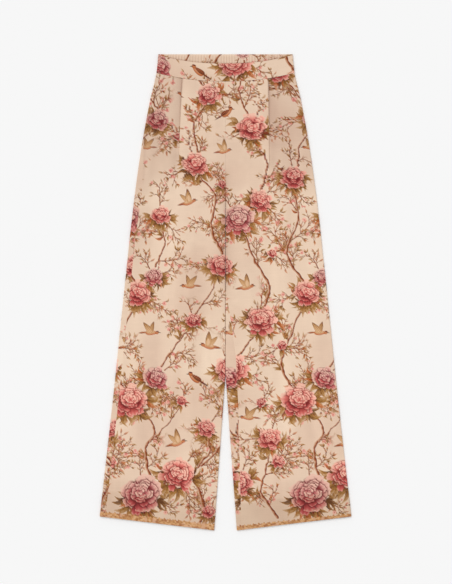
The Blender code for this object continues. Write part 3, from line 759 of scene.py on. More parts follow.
def lay_twig(cloth, place, direction, length, draw, order=0, strength=0.9):
    """A fine twig with side twigs, small leaves, buds and a few blossoms."""
    bend = draw.uniform(-0.5, 0.5)
    bent = direction + bend
    middle = stepped(place, direction, length / 2)
    end = stepped(middle, bent, length / 2)
    line = smooth_line([place, middle, end], 4)
    last = len(line) - 1
    lay_stroke(cloth, line, TWIG_WIDTHS[order], TWIG_END, TWIG_TONE, strength)
    if order < 2:
        forks = (5 if length > LONG_TWIG else 4) if order == 0 else 2
        for k in range(forks):
            share = 0.22 + 0.68 * (k + draw.uniform(0, 0.7)) / forks
            turn = bend * share + (1 if k % 2 else -1) * draw.uniform(0.45, 0.85)
            side_length = length * draw.uniform(0.30, 0.50)
            lay_twig(cloth, line[int(share * last)], direction + turn, side_length, draw, order + 1,
                     strength * 0.95)
    for k in range(int(length / LEAF_STEP)):
        share = (k + draw.uniform(0.2, 0.9)) * LEAF_STEP / length
        at = line[min(int(share * last + 0.5), last)]
        angle = direction + bend * share + draw.choice([-1.0, 1.0]) * draw.uniform(0.35, 0.95)
        name = "leaf" if draw.random() < 0.60 else "rust"
        lay_leaf(cloth, at, angle, draw.uniform(*TWIG_LEAVES), name, draw, TWIG_LEAF_WIDTH,
                 strength * draw.uniform(0.55, 0.95))
    if not order:
        return
    tip = draw.random()
    if tip < TIPS[0]:
        lay_blossom(cloth, end, draw.uniform(0.0034, 0.0050), draw)
    elif tip < TIPS[1]:
        rose = cloth.inks["rose"]
        lay_dot(cloth, end, draw.uniform(0.0013, 0.0022), rose[MIDDLE], strength * 0.8)
        lay_dot(cloth, end + (0.0, BUD), BUD, rose[PALE], 0.8)
    elif tip < TIPS[2]:
        lay_leaf_fan(cloth, end, bent, draw.uniform(0.009, 0.014), 3, draw)
    else:
        length, name = draw.uniform(0.008, 0.015), "rust" if draw.random() < 0.6 else "leaf"
        lay_leaf(cloth, end, bent, length, name, draw, TWIG_LEAF_WIDTH, strength * 0.85)


FAN_SPREAD = 0.48  # from leaf to leaf
OLIVE_SHARE = 0.85  # of a fan's leaves, the others being rust-coloured


def lay_leaf_fan(cloth, place, direction, length, count, draw, deep=0.0):
    """A fan of pointed leaves from one place."""
    for k in range(count):
        angle = direction + (k - (count - 1) / 2) * FAN_SPREAD + draw.uniform(-0.34, 0.34)
        name = "leaf" if draw.random() < OLIVE_SHARE else "rust"
        width = draw.uniform(0.22, 0.31)
        lay_leaf(cloth, place, angle, length * draw.uniform(0.55, 1.20), name, draw, width, deep=deep)


# Fans of leaves round the lower half of a bloom: from fan to fan, how far out they start in the bloom's
# radius, their least length, and how much deeper their tone is.
Foliage = namedtuple("Foliage", "spread edge length deep")
UNDER_LEAVES = Foliage(0.72, 0.72, 0.006, 0.34)
UPPER_LEAVES = Foliage(0.95, 0.76, 0.012, 0.05)


def lay_foliage(cloth, bloom, foliage, fans, leaves, draw):
    for k in range(fans):
        angle = bloom.lean + np.pi + (k - (fans - 1) / 2) * foliage.spread + draw.uniform(-0.45, 0.45)
        place = stepped((bloom.along, bloom.up), angle, foliage.edge * bloom.radius)
        lay_leaf_fan(cloth, place, angle, foliage.length + bloom.radius * 0.46, leaves, draw, foliage.deep)


def lay_bird(cloth, bird, ground):
    """A bird, with open ground round it."""
    found, x, y = cloth.near((bird.along, bird.up), bird.size * 0.95)
    if not len(found):
        return
    if bird.ovals is not PERCHED:
        cloth.lay(found, ground[found], faded(np.hypot(x, y) / bird.size, 0.50, 0.92))
    x, y = aligned(x * bird.facing, y, bird.tilt)
    x, y = x / bird.size, y / bird.size
    for oval in bird.ovals:
        a, b = aligned(x - oval.x, y - oval.y, oval.turn)
        a, b = a / oval.length, b / oval.width
        out = np.hypot(a, b / np.maximum(1.0 - oval.taper * np.clip(a, -1.0, 1.0), 0.12)) - 1.0
        soft = INK_EDGE / bird.size / min(oval.length, oval.width)
        feathers = oval.feathers * np.sin(b * 11 + a * 2)
        light = oval.tone - 0.12 + oval.fade * a + feathers - 0.30 * eased(out, -0.35, 0.0) + 0.12 * b
        cloth.lay(found, toned(cloth.inks[oval.ink], light), faded(out, -0.7 * soft, 0.5 * soft))


SCALLOPS = ((0.0011, 34), (0.0009, 61))  # their height, and how many are in the repeat
SCROLLS = 42
BORDER_EDGE = (-0.0012, 0.0008)


def lay_border(cloth):
    """The gilt border along the hems, with its scrolls and its scalloped upper edge."""

    def waved(count):
        return np.sin(cloth.along * TURN * count / REPEAT)

    height = cloth.border + sum(high * waved(count) for high, count in SCALLOPS)
    inside = np.nonzero((cloth.border > 0.0) & (cloth.above_hem < height + 0.002))[0]
    if not len(inside):
        return
    wave = waved(SCROLLS)[inside]
    along, above, height = cloth.along[inside], cloth.above_hem[inside], height[inside]
    scroll = np.abs(above / np.maximum(height, 1e-4) - 0.50 - 0.26 * wave)
    grain = clouds(along, above * 2.0, 0.0050, 21)
    tone = 0.56 + 0.70 * (grain - 0.5) - 0.22 * faded(scroll, 0.03, 0.20)
    tone = tone - 0.20 * faded(np.abs(above - height), 0.0, 0.0016)
    laid = toned(cloth.inks["gilt"], tone)
    shade = 0.75 * faded(clouds(along, above * 1.6, 0.0066, 33), 0.22, 0.46)[:, None]
    laid = mixed(laid, cloth.inks["gilt_shade"][MIDDLE], shade)
    petals = 0.75 * eased(clouds(along, above * 1.4, 0.0095, 41), 0.58, 0.85)[:, None]
    laid = mixed(laid, cloth.inks["rust"][PALEST], petals)
    cloth.lay(inside, laid, faded(above - height, *BORDER_EDGE) * 0.94)


TWIG_STEP = 0.042  # along a limb, from twig to twig
LIMB_TWIGS = (0.040, 0.076)  # their lengths, and those of the fans beside them
LIMB_FANS = (0.018, 0.030)
LIMB_TONE = 0.56
BLOOM_TWIGS = (0.036, 0.060)
THICKET = 0.11  # distance between places of thick growth and open ones
GROWTH_SEED, UNDER_SEED, THICKET_SEED, PEONY_SEED = 11, 12, 77, 100


def lay_limb_twigs(cloth, line, draw):
    """The twigs and leaves along a limb."""
    last = len(line) - 1
    count = max(int(np.hypot(*np.diff(line, axis=0).T).sum() / TWIG_STEP), 1)
    for k in range(count):
        i = int((k + draw.uniform(0.1, 0.9)) / count * last)
        ahead = line[min(i + 1, last)] - line[max(i - 1, 0)]
        angle = np.arctan2(ahead[1], ahead[0]) + (1 if k % 2 else -1) * draw.uniform(0.5, 1.1)
        growth = 0.45 + 1.05 * clouds(line[i, :1], line[i, 1:], THICKET, THICKET_SEED)[0]
        lay_twig(cloth, line[i], angle, draw.uniform(*LIMB_TWIGS) * growth, draw)
        if k % 2:
            lay_leaf_fan(cloth, line[i], angle, draw.uniform(*LIMB_FANS), 4, draw, 0.08)


def lay_bloom_twigs(cloth, bloom, draw):
    """The twigs that stand out from a bloom."""
    small = bloom.radius < SMALL_BLOOM
    for k in range(2 if small else 3):
        angle = draw.uniform(0, TURN) if small else bloom.lean + 2.1 * (k - 1) + draw.uniform(-0.5, 0.5)
        place = stepped((bloom.along, bloom.up), angle, 0.0 if small else bloom.radius * 0.85)
        length = draw.uniform(*BLOOM_TWIGS) + (bloom.radius * 0.3 if small else 0.0)
        lay_twig(cloth, place, angle, length, draw)


def painted(along, up, above_hem, border, inks):
    """The print's colour at every place of the cloth."""
    cloth = InkedCloth(along, up, above_hem, border, inks)
    draw, under_draw = np.random.default_rng(GROWTH_SEED), np.random.default_rng(UNDER_SEED)
    lay_ground(cloth)
    ground = cloth.laid.copy()
    lines = [crooked(smooth_line(limb.points), draw) for limb in LIMBS]
    for line in lines:
        lay_limb_twigs(cloth, line, draw)
    for bloom in BLOOMS:
        lay_bloom_twigs(cloth, bloom, draw)
    for bird in BIRDS:
        lay_bird(cloth, bird, ground)
    for line, limb in zip(lines, LIMBS):
        lay_stroke(cloth, line, limb.start, limb.end, LIMB_TONE, 1.0)
    for bloom in BLOOMS:
        fans, leaves = (2, 3) if bloom.radius < SMALL_BLOOM else (4, 5)
        lay_foliage(cloth, bloom, UNDER_LEAVES, fans + 1, leaves + 1, under_draw)
        lay_foliage(cloth, bloom, UPPER_LEAVES, fans, leaves, draw)
    for seed, bloom in enumerate(sorted(BLOOMS, key=lambda bloom: bloom.radius), PEONY_SEED):
        lay_peony(cloth, bloom, seed)
    lay_border(cloth)
    return np.clip(cloth.laid, 0.0, 1.0)


# ---- the garment's form


def column(table, name):
    return np.array([getattr(row, name) for row in table])


def crest(away):
    """1 on a crest, and 0 from its foot on."""
    return 0.5 * (1.0 + np.cos(np.pi * np.clip(away, 0.0, 1.0)))


def read(table, name, below_waist):
    """A table's named column at any distance below the waist, smooth and without overshoot."""
    places, values = column(table, "below_waist"), column(table, name)
    spans = np.diff(places)
    slopes = np.diff(values) / spans
    before, after = slopes[:-1], slopes[1:]
    same_way = before * after > 0
    total = np.where(same_way, before + after, 1.0)
    between_rows = np.where(same_way, 2.0 * before * after / total, 0.0)
    tangents = np.concatenate([slopes[:1], between_rows, slopes[-1:]])
    at = np.clip(below_waist, places[0], places[-1])
    row = np.clip(np.searchsorted(places, at) - 1, 0, len(spans) - 1)
    share = (at - places[row]) / spans[row]
    rise = eased(share)
    bend = share * (1.0 - share) ** 2 * tangents[row] + share**2 * (share - 1.0) * tangents[row + 1]
    return values[row] * (1.0 - rise) + values[row + 1] * rise + spans[row] * bend


def below_waist_of(y):
    return LENGTH / 2 - y


def outer_edge(y):
    """Half width of the garment at a height."""
    return read(OUTLINE, "half_width", below_waist_of(y))


def inner_edge(y):
    """Inner edge of a leg: on the centre line as far as the legs touch, then slanting outwards."""
    parted = (below_waist_of(y) - LEGS_PART) / (LENGTH - LEGS_PART)
    return SEAM_GAP / 2 + (HEM_INSET - SEAM_GAP / 2) * np.maximum(parted, 0.0)


def waist_dip(across):
    """How far the front waist seam lies under its ends."""
    return FRONT_SAG * (1.0 - np.minimum(np.abs(across), 1.0) ** FRONT_SAG_POWER)


def leg_height(down, across, is_back):
    """Y at a share of the way down a leg and across it."""
    top = LENGTH / 2 - BAND_HEIGHT - SEAM_GAP - waist_dip(across)
    hem = -LENGTH / 2 + HEM_RISE * across
    raised = waist_dip(across) * faded(down / BACK_TOP_EVEN) if is_back else 0.0
    return top * (1.0 - down) + hem * down + raised


def fold(roll, radius):
    """Middle line of a fold, at a distance round from its outermost point: outward and upward from the
    fold's centre, and the outward normal."""
    quarter = radius * np.pi / 2
    turn = np.clip(roll, -quarter, quarter) / radius
    beyond = np.maximum(np.abs(roll) - quarter, 0.0)
    return radius * np.cos(turn) - beyond, radius * np.sin(turn), np.cos(turn), np.sin(turn)


FOLD_SAMPLES = 240  # from which the columns round a fold are chosen
FOLD_CROWDING = 3.0  # how much closer they are in the fold than beside it


def fold_rolls(seam, radius, over_top, count):
    """Distances round a fold, from the seam on, at which a panel has its columns. They crowd in the
    fold."""
    quarter = radius * np.pi / 2
    start = seam if over_top else -seam
    end = max(quarter + FOLD_SHOULDER, start + 2 * FOLD_SHOULDER)
    fine = np.linspace(start, end, FOLD_SAMPLES)
    crowding = 1.0 + FOLD_CROWDING * faded(np.abs(fine), 0.8 * quarter, 1.6 * quarter)
    passed = added_up((crowding[1:] + crowding[:-1]) / 2)
    rolls = np.interp(np.linspace(0.0, passed[-1], count), passed, fine)
    return rolls if over_top else -rolls


def pleat_line(distance, under, turn, radius, crevice):
    """Middle line of a pleat, outward and upward from the middle of its hidden layer, at a distance along
    the cloth. The cloth that comes out from under its edge dips there by the crevice's depth."""
    far = under / 2 + turn * radius
    length = np.abs(distance)
    straight = np.minimum(length, under / 2)
    turn_left = np.clip(turn - (length - under / 2) / radius, 0.0, turn)
    out = straight * np.cos(turn) + radius * (np.sin(turn) - np.sin(turn_left))
    out = out + np.maximum(length - far, 0.0)
    down = straight * np.sin(turn) + radius * (np.cos(turn_left) - np.cos(turn))
    step = under * np.sin(turn) + 2 * radius * (1.0 - np.cos(turn))
    level = eased((length - far - under - PLEAT_MARGIN) / PLEAT_RAMP)
    share = np.where(distance < 0, -PLEAT_UP, 1.0 - PLEAT_UP)
    dip = crevice * np.exp(-(((distance - far - under) / CREVICE_WIDTH) ** 2))
    return np.sign(distance) * out, -np.sign(distance) * down + step * (PLEAT_UP - 0.5 + share * level) - dip


def pleat_distances(under, turn, radius, reach_in, reach_out, down):
    """Distances along the cloth, from the middle of the pleat, of a front panel's middle columns. They
    crowd in the pleat's folds, and are even below it."""
    hidden = max(under - PLEAT_MARGIN, 0.0)
    spans = [0.0, under / 2, turn * radius, hidden, PLEAT_EDGE_SPAN, PLEAT_RAMP]

    def half(reach, counts):
        stations = [*np.cumsum(spans), reach]
        steps = [np.linspace(a, b, n, endpoint=False) for a, b, n in zip(stations, stations[1:], counts)]
        return np.concatenate(steps + [[reach]])

    inward, outward = half(reach_in, INWARD_COLUMNS), half(reach_out, OUTWARD_COLUMNS)
    crowded = np.concatenate([-inward[::-1], outward[1:]])
    even = np.linspace(-reach_in, reach_out, len(crowded))
    return crowded + (even - crowded) * eased(down, *PLEAT_EVEN)


def along_fold(row, below):
    """How far along a soft fold, and where across the leg it runs there."""
    share = (below - row.top) / (row.bottom - row.top)
    return share, row.across_top + (row.across_bottom - row.across_top) * share


def soft_lift(side, x, y, inner, outer):
    """Height of the soft folds of one leg's front."""
    lift = np.zeros_like(x)
    for row in SOFT_FOLDS:
        if row.leg == side:
            share, ridge = along_fold(row, below_waist_of(y))
            ends = eased(share / SOFT_FOLD_FADE) * eased((1.0 - share) / SOFT_FOLD_FADE)
            lift += row.height * ends * crest(np.abs(x - ridge) / row.half_width)
    calm = eased((x - inner - FOLD_SHOULDER) / EDGE_CALM)
    return lift * calm * eased((outer - FOLD_SHOULDER - x) / EDGE_CALM)


CREASE_ENDS = (-0.04, 0.35)  # shares of a crease over which it rises from each end


def crease_lift(creases, side, x, y):
    """Height of the fine creases of one leg."""
    below = below_waist_of(y)
    lift = np.zeros_like(x)
    for row in creases:
        if row.leg != side:
            continue
        run_x, run_y = row.across_b - row.across_a, row.below_b - row.below_a
        length = np.hypot(run_x, run_y)
        share = ((x - row.across_a) * run_x + (below - row.below_a) * run_y) / length**2
        away = ((x - row.across_a) * run_y - (below - row.below_a) * run_x) / length
        away = np.abs(away + 0.10 * row.half_width * np.sin(share * 9.0)) / row.half_width
        ends = eased(share, *CREASE_ENDS) * eased(1.0 - share, *CREASE_ENDS)
        lift += row.height * ends * crest(away)
    return lift


PLEAT_ACROSS = 0.6  # share across a leg at which its pleat's height is read
PLEAT_DEEP = (0.0008, 0.0105)  # cloth under a pleat where its crevice starts and is at its deepest


class LegLevel:
    """One ring of a leg, at a share of the way down: its two edges, folds and seams."""

    def __init__(self, side, down, sizes):
        self.side, self.down, self.sizes = side, down, sizes
        self.inner_y = float(leg_height(down, 0.0, False))
        self.outer_y = float(leg_height(down, 1.0, False))
        self.inner = float(inner_edge(self.inner_y))
        self.outer = float(outer_edge(self.outer_y))
        self.low = sizes.cloth / 2
        self.high = LEG_SURFACE - sizes.cloth / 2
        self.radius = (self.high - self.low) / 2
        self.round = self.radius + sizes.cloth / 2
        above_crotch = self.inner_y - (LENGTH / 2 - CROTCH)
        self.closed = float(eased(0.5 - above_crotch / CROTCH_REACH))
        self.inner_centre = self.inner + self.round * np.sin(self.closed * np.pi / 2)
        self.outer_centre = self.outer - self.round
        self.pleat_edge, self.pleat_depth = self.outer, 0.0

    def edge_rolls(self, name, over_top, count):
        """Where one panel ends at a seam, and its columns round that fold."""
        y = self.inner_y if name == "inseam" else self.outer_y
        seam = float(read(SEAM_ROLL, f"{self.side}_{name}", below_waist_of(y)))
        way = 1.0 if over_top else -1.0
        opened = (1.0 - self.closed) * self.radius * np.pi / 2 if name == "inseam" else 0.0
        return fold_rolls(seam + way * opened, self.radius, over_top, count)

    def round_fold(self, name, rolls):
        """Points and normals of the cloth round the inner or the outer fold."""
        out, up, normal_out, normal_up = fold(rolls, self.radius)
        way, centre = (-1.0, self.inner_centre) if name == "inseam" else (1.0, self.outer_centre)
        points = np.stack([centre + way * out, self.low + self.radius + up])
        return points, np.stack([way * normal_out, normal_up])

    def front_middle(self, start, end):
        """Points and normals of the upper layer between two places, with its pleat."""
        radius = self.sizes.pleat_radius
        near_pleat = below_waist_of(float(leg_height(self.down, PLEAT_ACROSS, False)))
        under = float(read(PLEATS, "under", near_pleat))
        turn = float(read(PLEATS, "turn", near_pleat))
        edge = float(read(PLEATS, f"{self.side}_fold", near_pleat))
        overhang = max(-under / 2 * np.cos(turn) + radius * (1.0 - np.sin(turn)), 0.0)
        centre = edge - (overhang if turn > np.pi / 2 else 0.0)
        far = under / 2 + turn * radius
        far_out = under / 2 * np.cos(turn) + radius * np.sin(turn)
        reach_in, reach_out = centre - start - far_out + far, end - centre - far_out + far
        distances = pleat_distances(under, turn, radius, reach_in, reach_out, self.down)[1:-1]
        depth = float(eased(under, *PLEAT_DEEP))
        self.pleat_edge, self.pleat_depth = edge, depth

        def point(distance):
            out, up = pleat_line(distance, under, turn, radius, depth * self.sizes.pleat_crevice)
            x = centre + out
            y = leg_height(self.down, (x - self.inner) / (self.outer - self.inner), False)
            fine = crease_lift(FRONT_CREASES, self.side, x, y) * self.sizes.creases
            calm = eased(x - start, 0.0, EDGE_CALM / 2) * eased(end - x, 0.0, EDGE_CALM / 2)
            soft = soft_lift(self.side, x, y, self.inner, self.outer)
            return np.stack([x, self.high + up + soft + fine * calm])

        tiny = 1e-5
        ahead = point(distances + tiny) - point(distances - tiny)
        ahead /= np.linalg.norm(ahead, axis=0)
        return point(distances), np.stack([-ahead[1], ahead[0]])

    def back_middle(self, start, end):
        """Points and normals of the lower layer between two places, on the surface but for its hollows."""
        x = np.linspace(start, end, BACK_MIDDLE_COLUMNS + 2)[1:-1]
        y = leg_height(self.down, (x - self.inner) / (self.outer - self.inner), True)
        calm = eased(x - start, 0.0, EDGE_CALM) * eased(end - x, 0.0, EDGE_CALM)
        hollow = crease_lift(BACK_CREASES, self.side, x, y) * self.sizes.creases
        draw_up = eased(GATHERS_DOWN - self.down, 0.0, GATHERS_DOWN) * self.sizes.under_gather
        hollow = (hollow + draw_up * gather_wave(x / self.outer)) * calm
        return np.stack([x, self.low + hollow]), np.stack([0.0 * x, 0.0 * x - 1.0])

    def ring(self, is_back):
        """One row of a panel from the inseam to the outseam: points, outward normals, and how far along
        the cloth each point lies from the centre line."""
        over_top = not is_back
        count = BACK_FOLD_COLUMNS if is_back else FRONT_FOLD_COLUMNS
        inner = self.round_fold("inseam", self.edge_rolls("inseam", over_top, count))
        outer = self.round_fold("outseam", self.edge_rolls("outseam", over_top, count)[::-1])
        start, end = inner[0][0, -1], outer[0][0, 0]
        middle = self.back_middle(start, end) if is_back else self.front_middle(start, end)
        points, normals = (np.concatenate(parts, axis=1) for parts in zip(inner, middle, outer))
        passed = added_up(np.hypot(*np.diff(points, axis=1)))
        along = passed - passed[count - 1] + start
        return points, normals, along, passed


UNEVEN_PITCH = ((0.35, 9.0), (0.2, 23.0))  # how far the gathers stray, and how often
UNEVEN_DEPTH = 0.22


def gather_wave(across):
    """The gathers of the elastic, 0 in their hollows and 1 on their ridges, uneven in pitch and depth."""
    phase = across * GATHERS * np.pi + sum(stray * np.sin(often * across) for stray, often in UNEVEN_PITCH)
    ends = eased((1.0 - np.abs(across) - GATHER_END / 2) / GATHER_END)
    depth = 1.0 - UNEVEN_DEPTH + UNEVEN_DEPTH * np.sin(17.0 * across + 1.0)
    return ends * depth * 0.5 * (1.0 + np.cos(phase))


PUCKER = 0.0145  # from pucker to pucker
PUCKERED = (0.004, 0.022)  # distance from a seam over which its puckers fade
# Pitch across and along the cloth of its slow waves, and their share.
SLOW_WAVES = ((0.085, 0.30, 0.5), (0.048, 0.17, 0.3), (0.030, 0.090, 0.2))


def seam_relief(sizes, from_edge, y, seed):
    """Dip of the cloth along a seam, and its small puckers beside it."""
    groove = -sizes.seam_groove * faded(from_edge, 0.0, sizes.seam_width)
    waves = np.sin(y * TURN / PUCKER + 2.0 * np.sin(y * 31.0 + seed)) * np.sin(y * 12.0 + seed)
    beside = eased(from_edge, 0.0, sizes.seam_width) * faded(from_edge, *PUCKERED)
    return groove + sizes.seam_pucker * waves * beside


def slow_waves(x, y, seed):
    """Slow unevenness of cloth as it lies, -1 to 1."""
    draw = np.random.default_rng(seed)
    total = np.zeros_like(x)
    for pitch_x, pitch_y, share in SLOW_WAVES:
        a, b, c, _ = draw.uniform(0, TURN, 4)
        bent = x + 0.25 * pitch_x * np.sin(y * TURN / pitch_y * 0.6 + a)
        total += share * np.sin(bent * TURN / pitch_x + b) * (0.6 + 0.4 * np.sin(y * TURN / pitch_y + c))
    return total


# ---- meshes


def grid_faces(index):
    a, b, c, d = index[:-1, :-1], index[:-1, 1:], index[1:, 1:], index[1:, :-1]
    return np.stack([a, d, c, b], axis=-1).reshape(-1, 4)


def kept(count, fine_spans, step):
    """Which rows or columns the inside face keeps: all of those that are fine, and every few others."""
    keep = set(range(0, count, step)) | {count - 1}
    for first, last in fine_spans:
        keep |= set(range(max(first, 0), min(last, count)))
    return np.array(sorted(keep))


SHARP_ANGLE = np.radians(60.0)


def added(name, data):
    """A new object in the scene."""
    made = bpy.data.objects.new(name, data)
    bpy.context.scene.collection.objects.link(made)
    return made


def shell(name, faces_of_cloth, keep, turned, colours, places):
    """A closed shell of cloth: a fine outer grid, an inner one with the kept rows and columns, and four
    rims. colours holds the print on both grids, and places the cloth's own places."""
    outer = faces_of_cloth[0]
    rows, columns = outer.shape[:2]
    keep_rows, keep_columns = keep
    index = np.arange(rows * columns).reshape(rows, columns)
    inside = np.arange(len(keep_rows) * len(keep_columns)).reshape(len(keep_rows), -1) + rows * columns
    faces = grid_faces(index).tolist() + grid_faces(inside)[:, ::-1].tolist()
    rims = ((index[0], inside[0], keep_columns, 1), (index[-1], inside[-1], keep_columns, -1),
            (index[:, 0], inside[:, 0], keep_rows, -1), (index[:, -1], inside[:, -1], keep_rows, 1))
    for outer_line, inner_line, kept_places, way in rims:
        for k, (a, b) in enumerate(zip(kept_places, kept_places[1:])):
            faces.append([*outer_line[a : b + 1], inner_line[k + 1], inner_line[k]][::way])
    if turned:
        faces = [face[::-1] for face in faces]

    def joined(grids):
        return np.concatenate([grids[0].reshape(-1, 3), grids[1][np.ix_(*keep)].reshape(-1, 3)])

    mesh = bpy.data.meshes.new(name)
    mesh.from_pydata(joined(faces_of_cloth).tolist(), [], faces)
    mesh.update()
    colours = np.pad(joined(colours), ((0, 0), (0, 1)), constant_values=1.0)
    places = joined((places, places))
    for attribute_name, kind, values in (("print", "color", colours), ("cloth_place", "vector", places)):
        attribute = mesh.attributes.new(attribute_name, f"FLOAT_{kind.upper()}", "POINT")
        attribute.data.foreach_set(kind, values.astype(np.float32).ravel())
    mesh.shade_smooth()
    mesh.set_sharp_from_angle(angle=SHARP_ANGLE)
    return added(name, mesh)


WRONG_SIDE = 0.45  # how much of the print shows through on the cloth's wrong side
CRISPNESS = 0.85  # how much each ink's edge is strengthened


def crisp(laid):
    """The print with its edges strengthened, each point against its neighbours."""
    padded = np.pad(laid, ((1, 1), (1, 1), (0, 0)), mode="edge")
    around = padded[:-2, 1:-1] + padded[2:, 1:-1] + padded[1:-1, :-2] + padded[1:-1, 2:]
    return np.clip(laid + CRISPNESS * (laid - (around + 2.0 * laid) / 6.0), 0.0, 1.0)


def print_values(along, up, above_hem, border, context):
    """The print's colours on the right side and on the wrong side, and the cloth's own places."""
    inks = context.scene.print_inks
    shape = along.shape
    laid = painted(along.ravel(), up.ravel(), above_hem.ravel(), border.ravel(), inks).reshape(*shape, 3)
    laid = crisp(laid)
    wrong = np.array(inks.paper) * 0.97 + (laid - np.array(inks.paper)) * WRONG_SIDE
    places = np.stack([along, up, np.zeros(shape)], axis=-1)
    return laid, wrong, places


# Colour by which painted shade darkens the cloth
SHADE_TINT = np.array([0.82, 1.0, 1.02])
# Stretches below the waist in which a painted shade fades, or comes and fades.
HIPS_END = (0.20, 0.38)
TOP_END = (0.24, 0.36)
CENTRE_SPAN = ((0.24, 0.32), (0.50, 0.62))
ROLLED_SPAN = ((0.16, 0.24), (0.42, 0.60))
ROLLED_SHADE = 0.10
ROLLED_FROM = 0.1  # from the centre line, so that the inseam's strip is left out
PLEAT_SHADE = 0.0050  # how far out from a pleat's edge its painted shadow reaches
PLEAT_LAP = 0.0012  # and how far in on its fold
HIPS_START = 0.010  # from a pleat's edge to the full painted shade of the hips
MILLIMETRE = 0.001
# Painted shade and painted highlight from the cloth's depth and height:
HOLLOW_LIMITS = (-1.5, 1.0)  # depth and height in millimetres past which the tone doesn't change
CENTRE_WIDTH = 0.017
HEM_STEP = 0.0050  # over which the deeper tone over the turned-up hem ends
HEM_FADE = 0.050  # and the height over which a fainter one fades above it
FAINTER = 0.8
HEM_TINT = np.array([0.88, 1.0, 1.15])
HEM_SHARES = {RIGHT: 1.0, LEFT: 1.3}


def between(below, span):
    """1 inside a stretch below the waist, fading at both of its ends."""
    return eased(below, *span[0]) * faded(below, *span[1])


def hem_darkening(side, above_hem, sizes):
    """Tone of the cloth above a hem, 1 where it is plain: deeper over the turned-up hem, and fainter for a
    little way above it.
    """
    doubled = faded(above_hem - sizes.hem_depth, -HEM_STEP / 2, HEM_STEP / 2)
    fading = faded(above_hem - sizes.hem_depth, 0.0, HEM_FADE)
    return 1.0 - sizes.hem_tone * HEM_SHARES[side] * (doubled + FAINTER * fading)[..., None] * HEM_TINT


def painted_shading(side, middle, normals, pleats, sizes):
    """Painted shade of a front panel's cloth, 1 where there is none: in its hollows, with painted highlight
    on its rises, along its pleat's edge, under the waistband, over the hips, down the middle and in strips
    along its folds."""
    # Painted shade in the hollows and painted highlight on the rises, where the cloth faces up
    lift = (middle[..., 2] - (LEG_SURFACE - sizes.cloth / 2)) / MILLIMETRE
    faces_up = eased(normals[..., 2], 0.80, 0.97)
    deeper = -sizes.pressed * np.clip(lift, *HOLLOW_LIMITS) * faces_up
    # Painted shadow along the pleat's edge, out from it and a little in on its fold
    beyond = middle[..., 0] - pleats[:, :1]
    along_edge = np.exp(-((np.maximum(beyond, 0.0) / PLEAT_SHADE) ** 2)) * (beyond > -PLEAT_LAP)
    deeper += sizes.pleat_tone * pleats[:, 1:] * along_edge
    below = below_waist_of(middle[..., 1])
    # Painted shade just below the waistband
    deeper += sizes.top_tone * faded(below, *TOP_END)
    # Painted shade over the hips
    deeper += sizes.hip_tone * eased(beyond, 0.0, HIPS_START) * faded(below, *HIPS_END)
    # Painted shade and painted highlight in strips along the folds
    deeper += crease_lift(PAINTED_SHADING_STRIPS, side, middle[..., 0], middle[..., 1])
    # Painted shade down the middle
    away = middle[..., 0] / CENTRE_WIDTH
    down_centre = between(below, CENTRE_SPAN) * (np.exp(-(away**2)) + 0.8 * np.exp(-((3.5 * away) ** 2)))
    deeper += sizes.centre_tone * down_centre
    return 1.0 - deeper[..., None] * SHADE_TINT


def rolled_shade(side, middle, normals):
    """Painted shade on the back panel where it rolls to the front beside the wearer's right outseam."""
    span = between(below_waist_of(middle[..., 1]), ROLLED_SPAN) * (side == RIGHT)
    shown = eased(normals[..., 2], 0.0, 0.5) * (middle[..., 0] > ROLLED_FROM)
    return 1.0 - (ROLLED_SHADE * span * shown)[..., None] * SHADE_TINT


CENTRE_CLOSING = 0.0001  # how far each side of the centre seams is drawn towards the other
BORDER_HEIGHTS = {RIGHT: (0.0142, 0.0122), LEFT: (0.0104, 0.0070)}  # at the inner and the outer corner
WAVE_SEEDS = {RIGHT: 4, LEFT: 9}
WAVES_CALM = (0.004, 0.03)  # distance from the side seams over which the slow waves rise
CENTRE_FLATTER = 0.6  # share by which the centre seams' relief is less than the inseams'
HEM_EDGE = (1.6, 0.0012)  # how much a hem's very edge turns in against its lift, and over what height
INSEAM_SEED, OUTSEAM_SEED, WAIST_SEED = 1.0, 2.0, 3.0
# The dip along a hem's stitches: its depth against the lift of the turned-up cloth, and its width.
BACK_STITCH_DIP = (1.25, 0.0020)
FRONT_STITCH_DIP = (1.4, 0.0012)


def leg_rows(side, is_back, sizes):
    """Every row of a leg's panel from the waist down: its middle line and normals, the points' places
    along the cloth and distances from both seams, their shares across, and its pleat's edge and depth."""
    made = []
    for down in np.linspace(0.0, 1.0, BACK_ROWS if is_back else FRONT_ROWS):
        level = LegLevel(side, float(down), sizes)
        (x, z), (normal_x, normal_z), along, passed = level.ring(is_back)
        across = np.clip((x - level.inner) / (level.outer - level.inner), 0.0, 1.0)
        points = np.stack([x, leg_height(level.down, across, is_back), z], axis=-1)
        normals = np.stack([normal_x, 0.0 * x, normal_z], axis=-1)
        pleat = (level.pleat_edge, level.pleat_depth)
        made.append((points, normals, along, passed, passed[-1] - passed, across, pleat))
    return [np.array(values) for values in zip(*made)]


def centre_part(y):
    """1 where the two legs are sewn together along the centre, 0 below the crotch."""
    return eased(y, LENGTH / 2 - CROTCH - CROTCH_REACH, LENGTH / 2 - CROTCH)


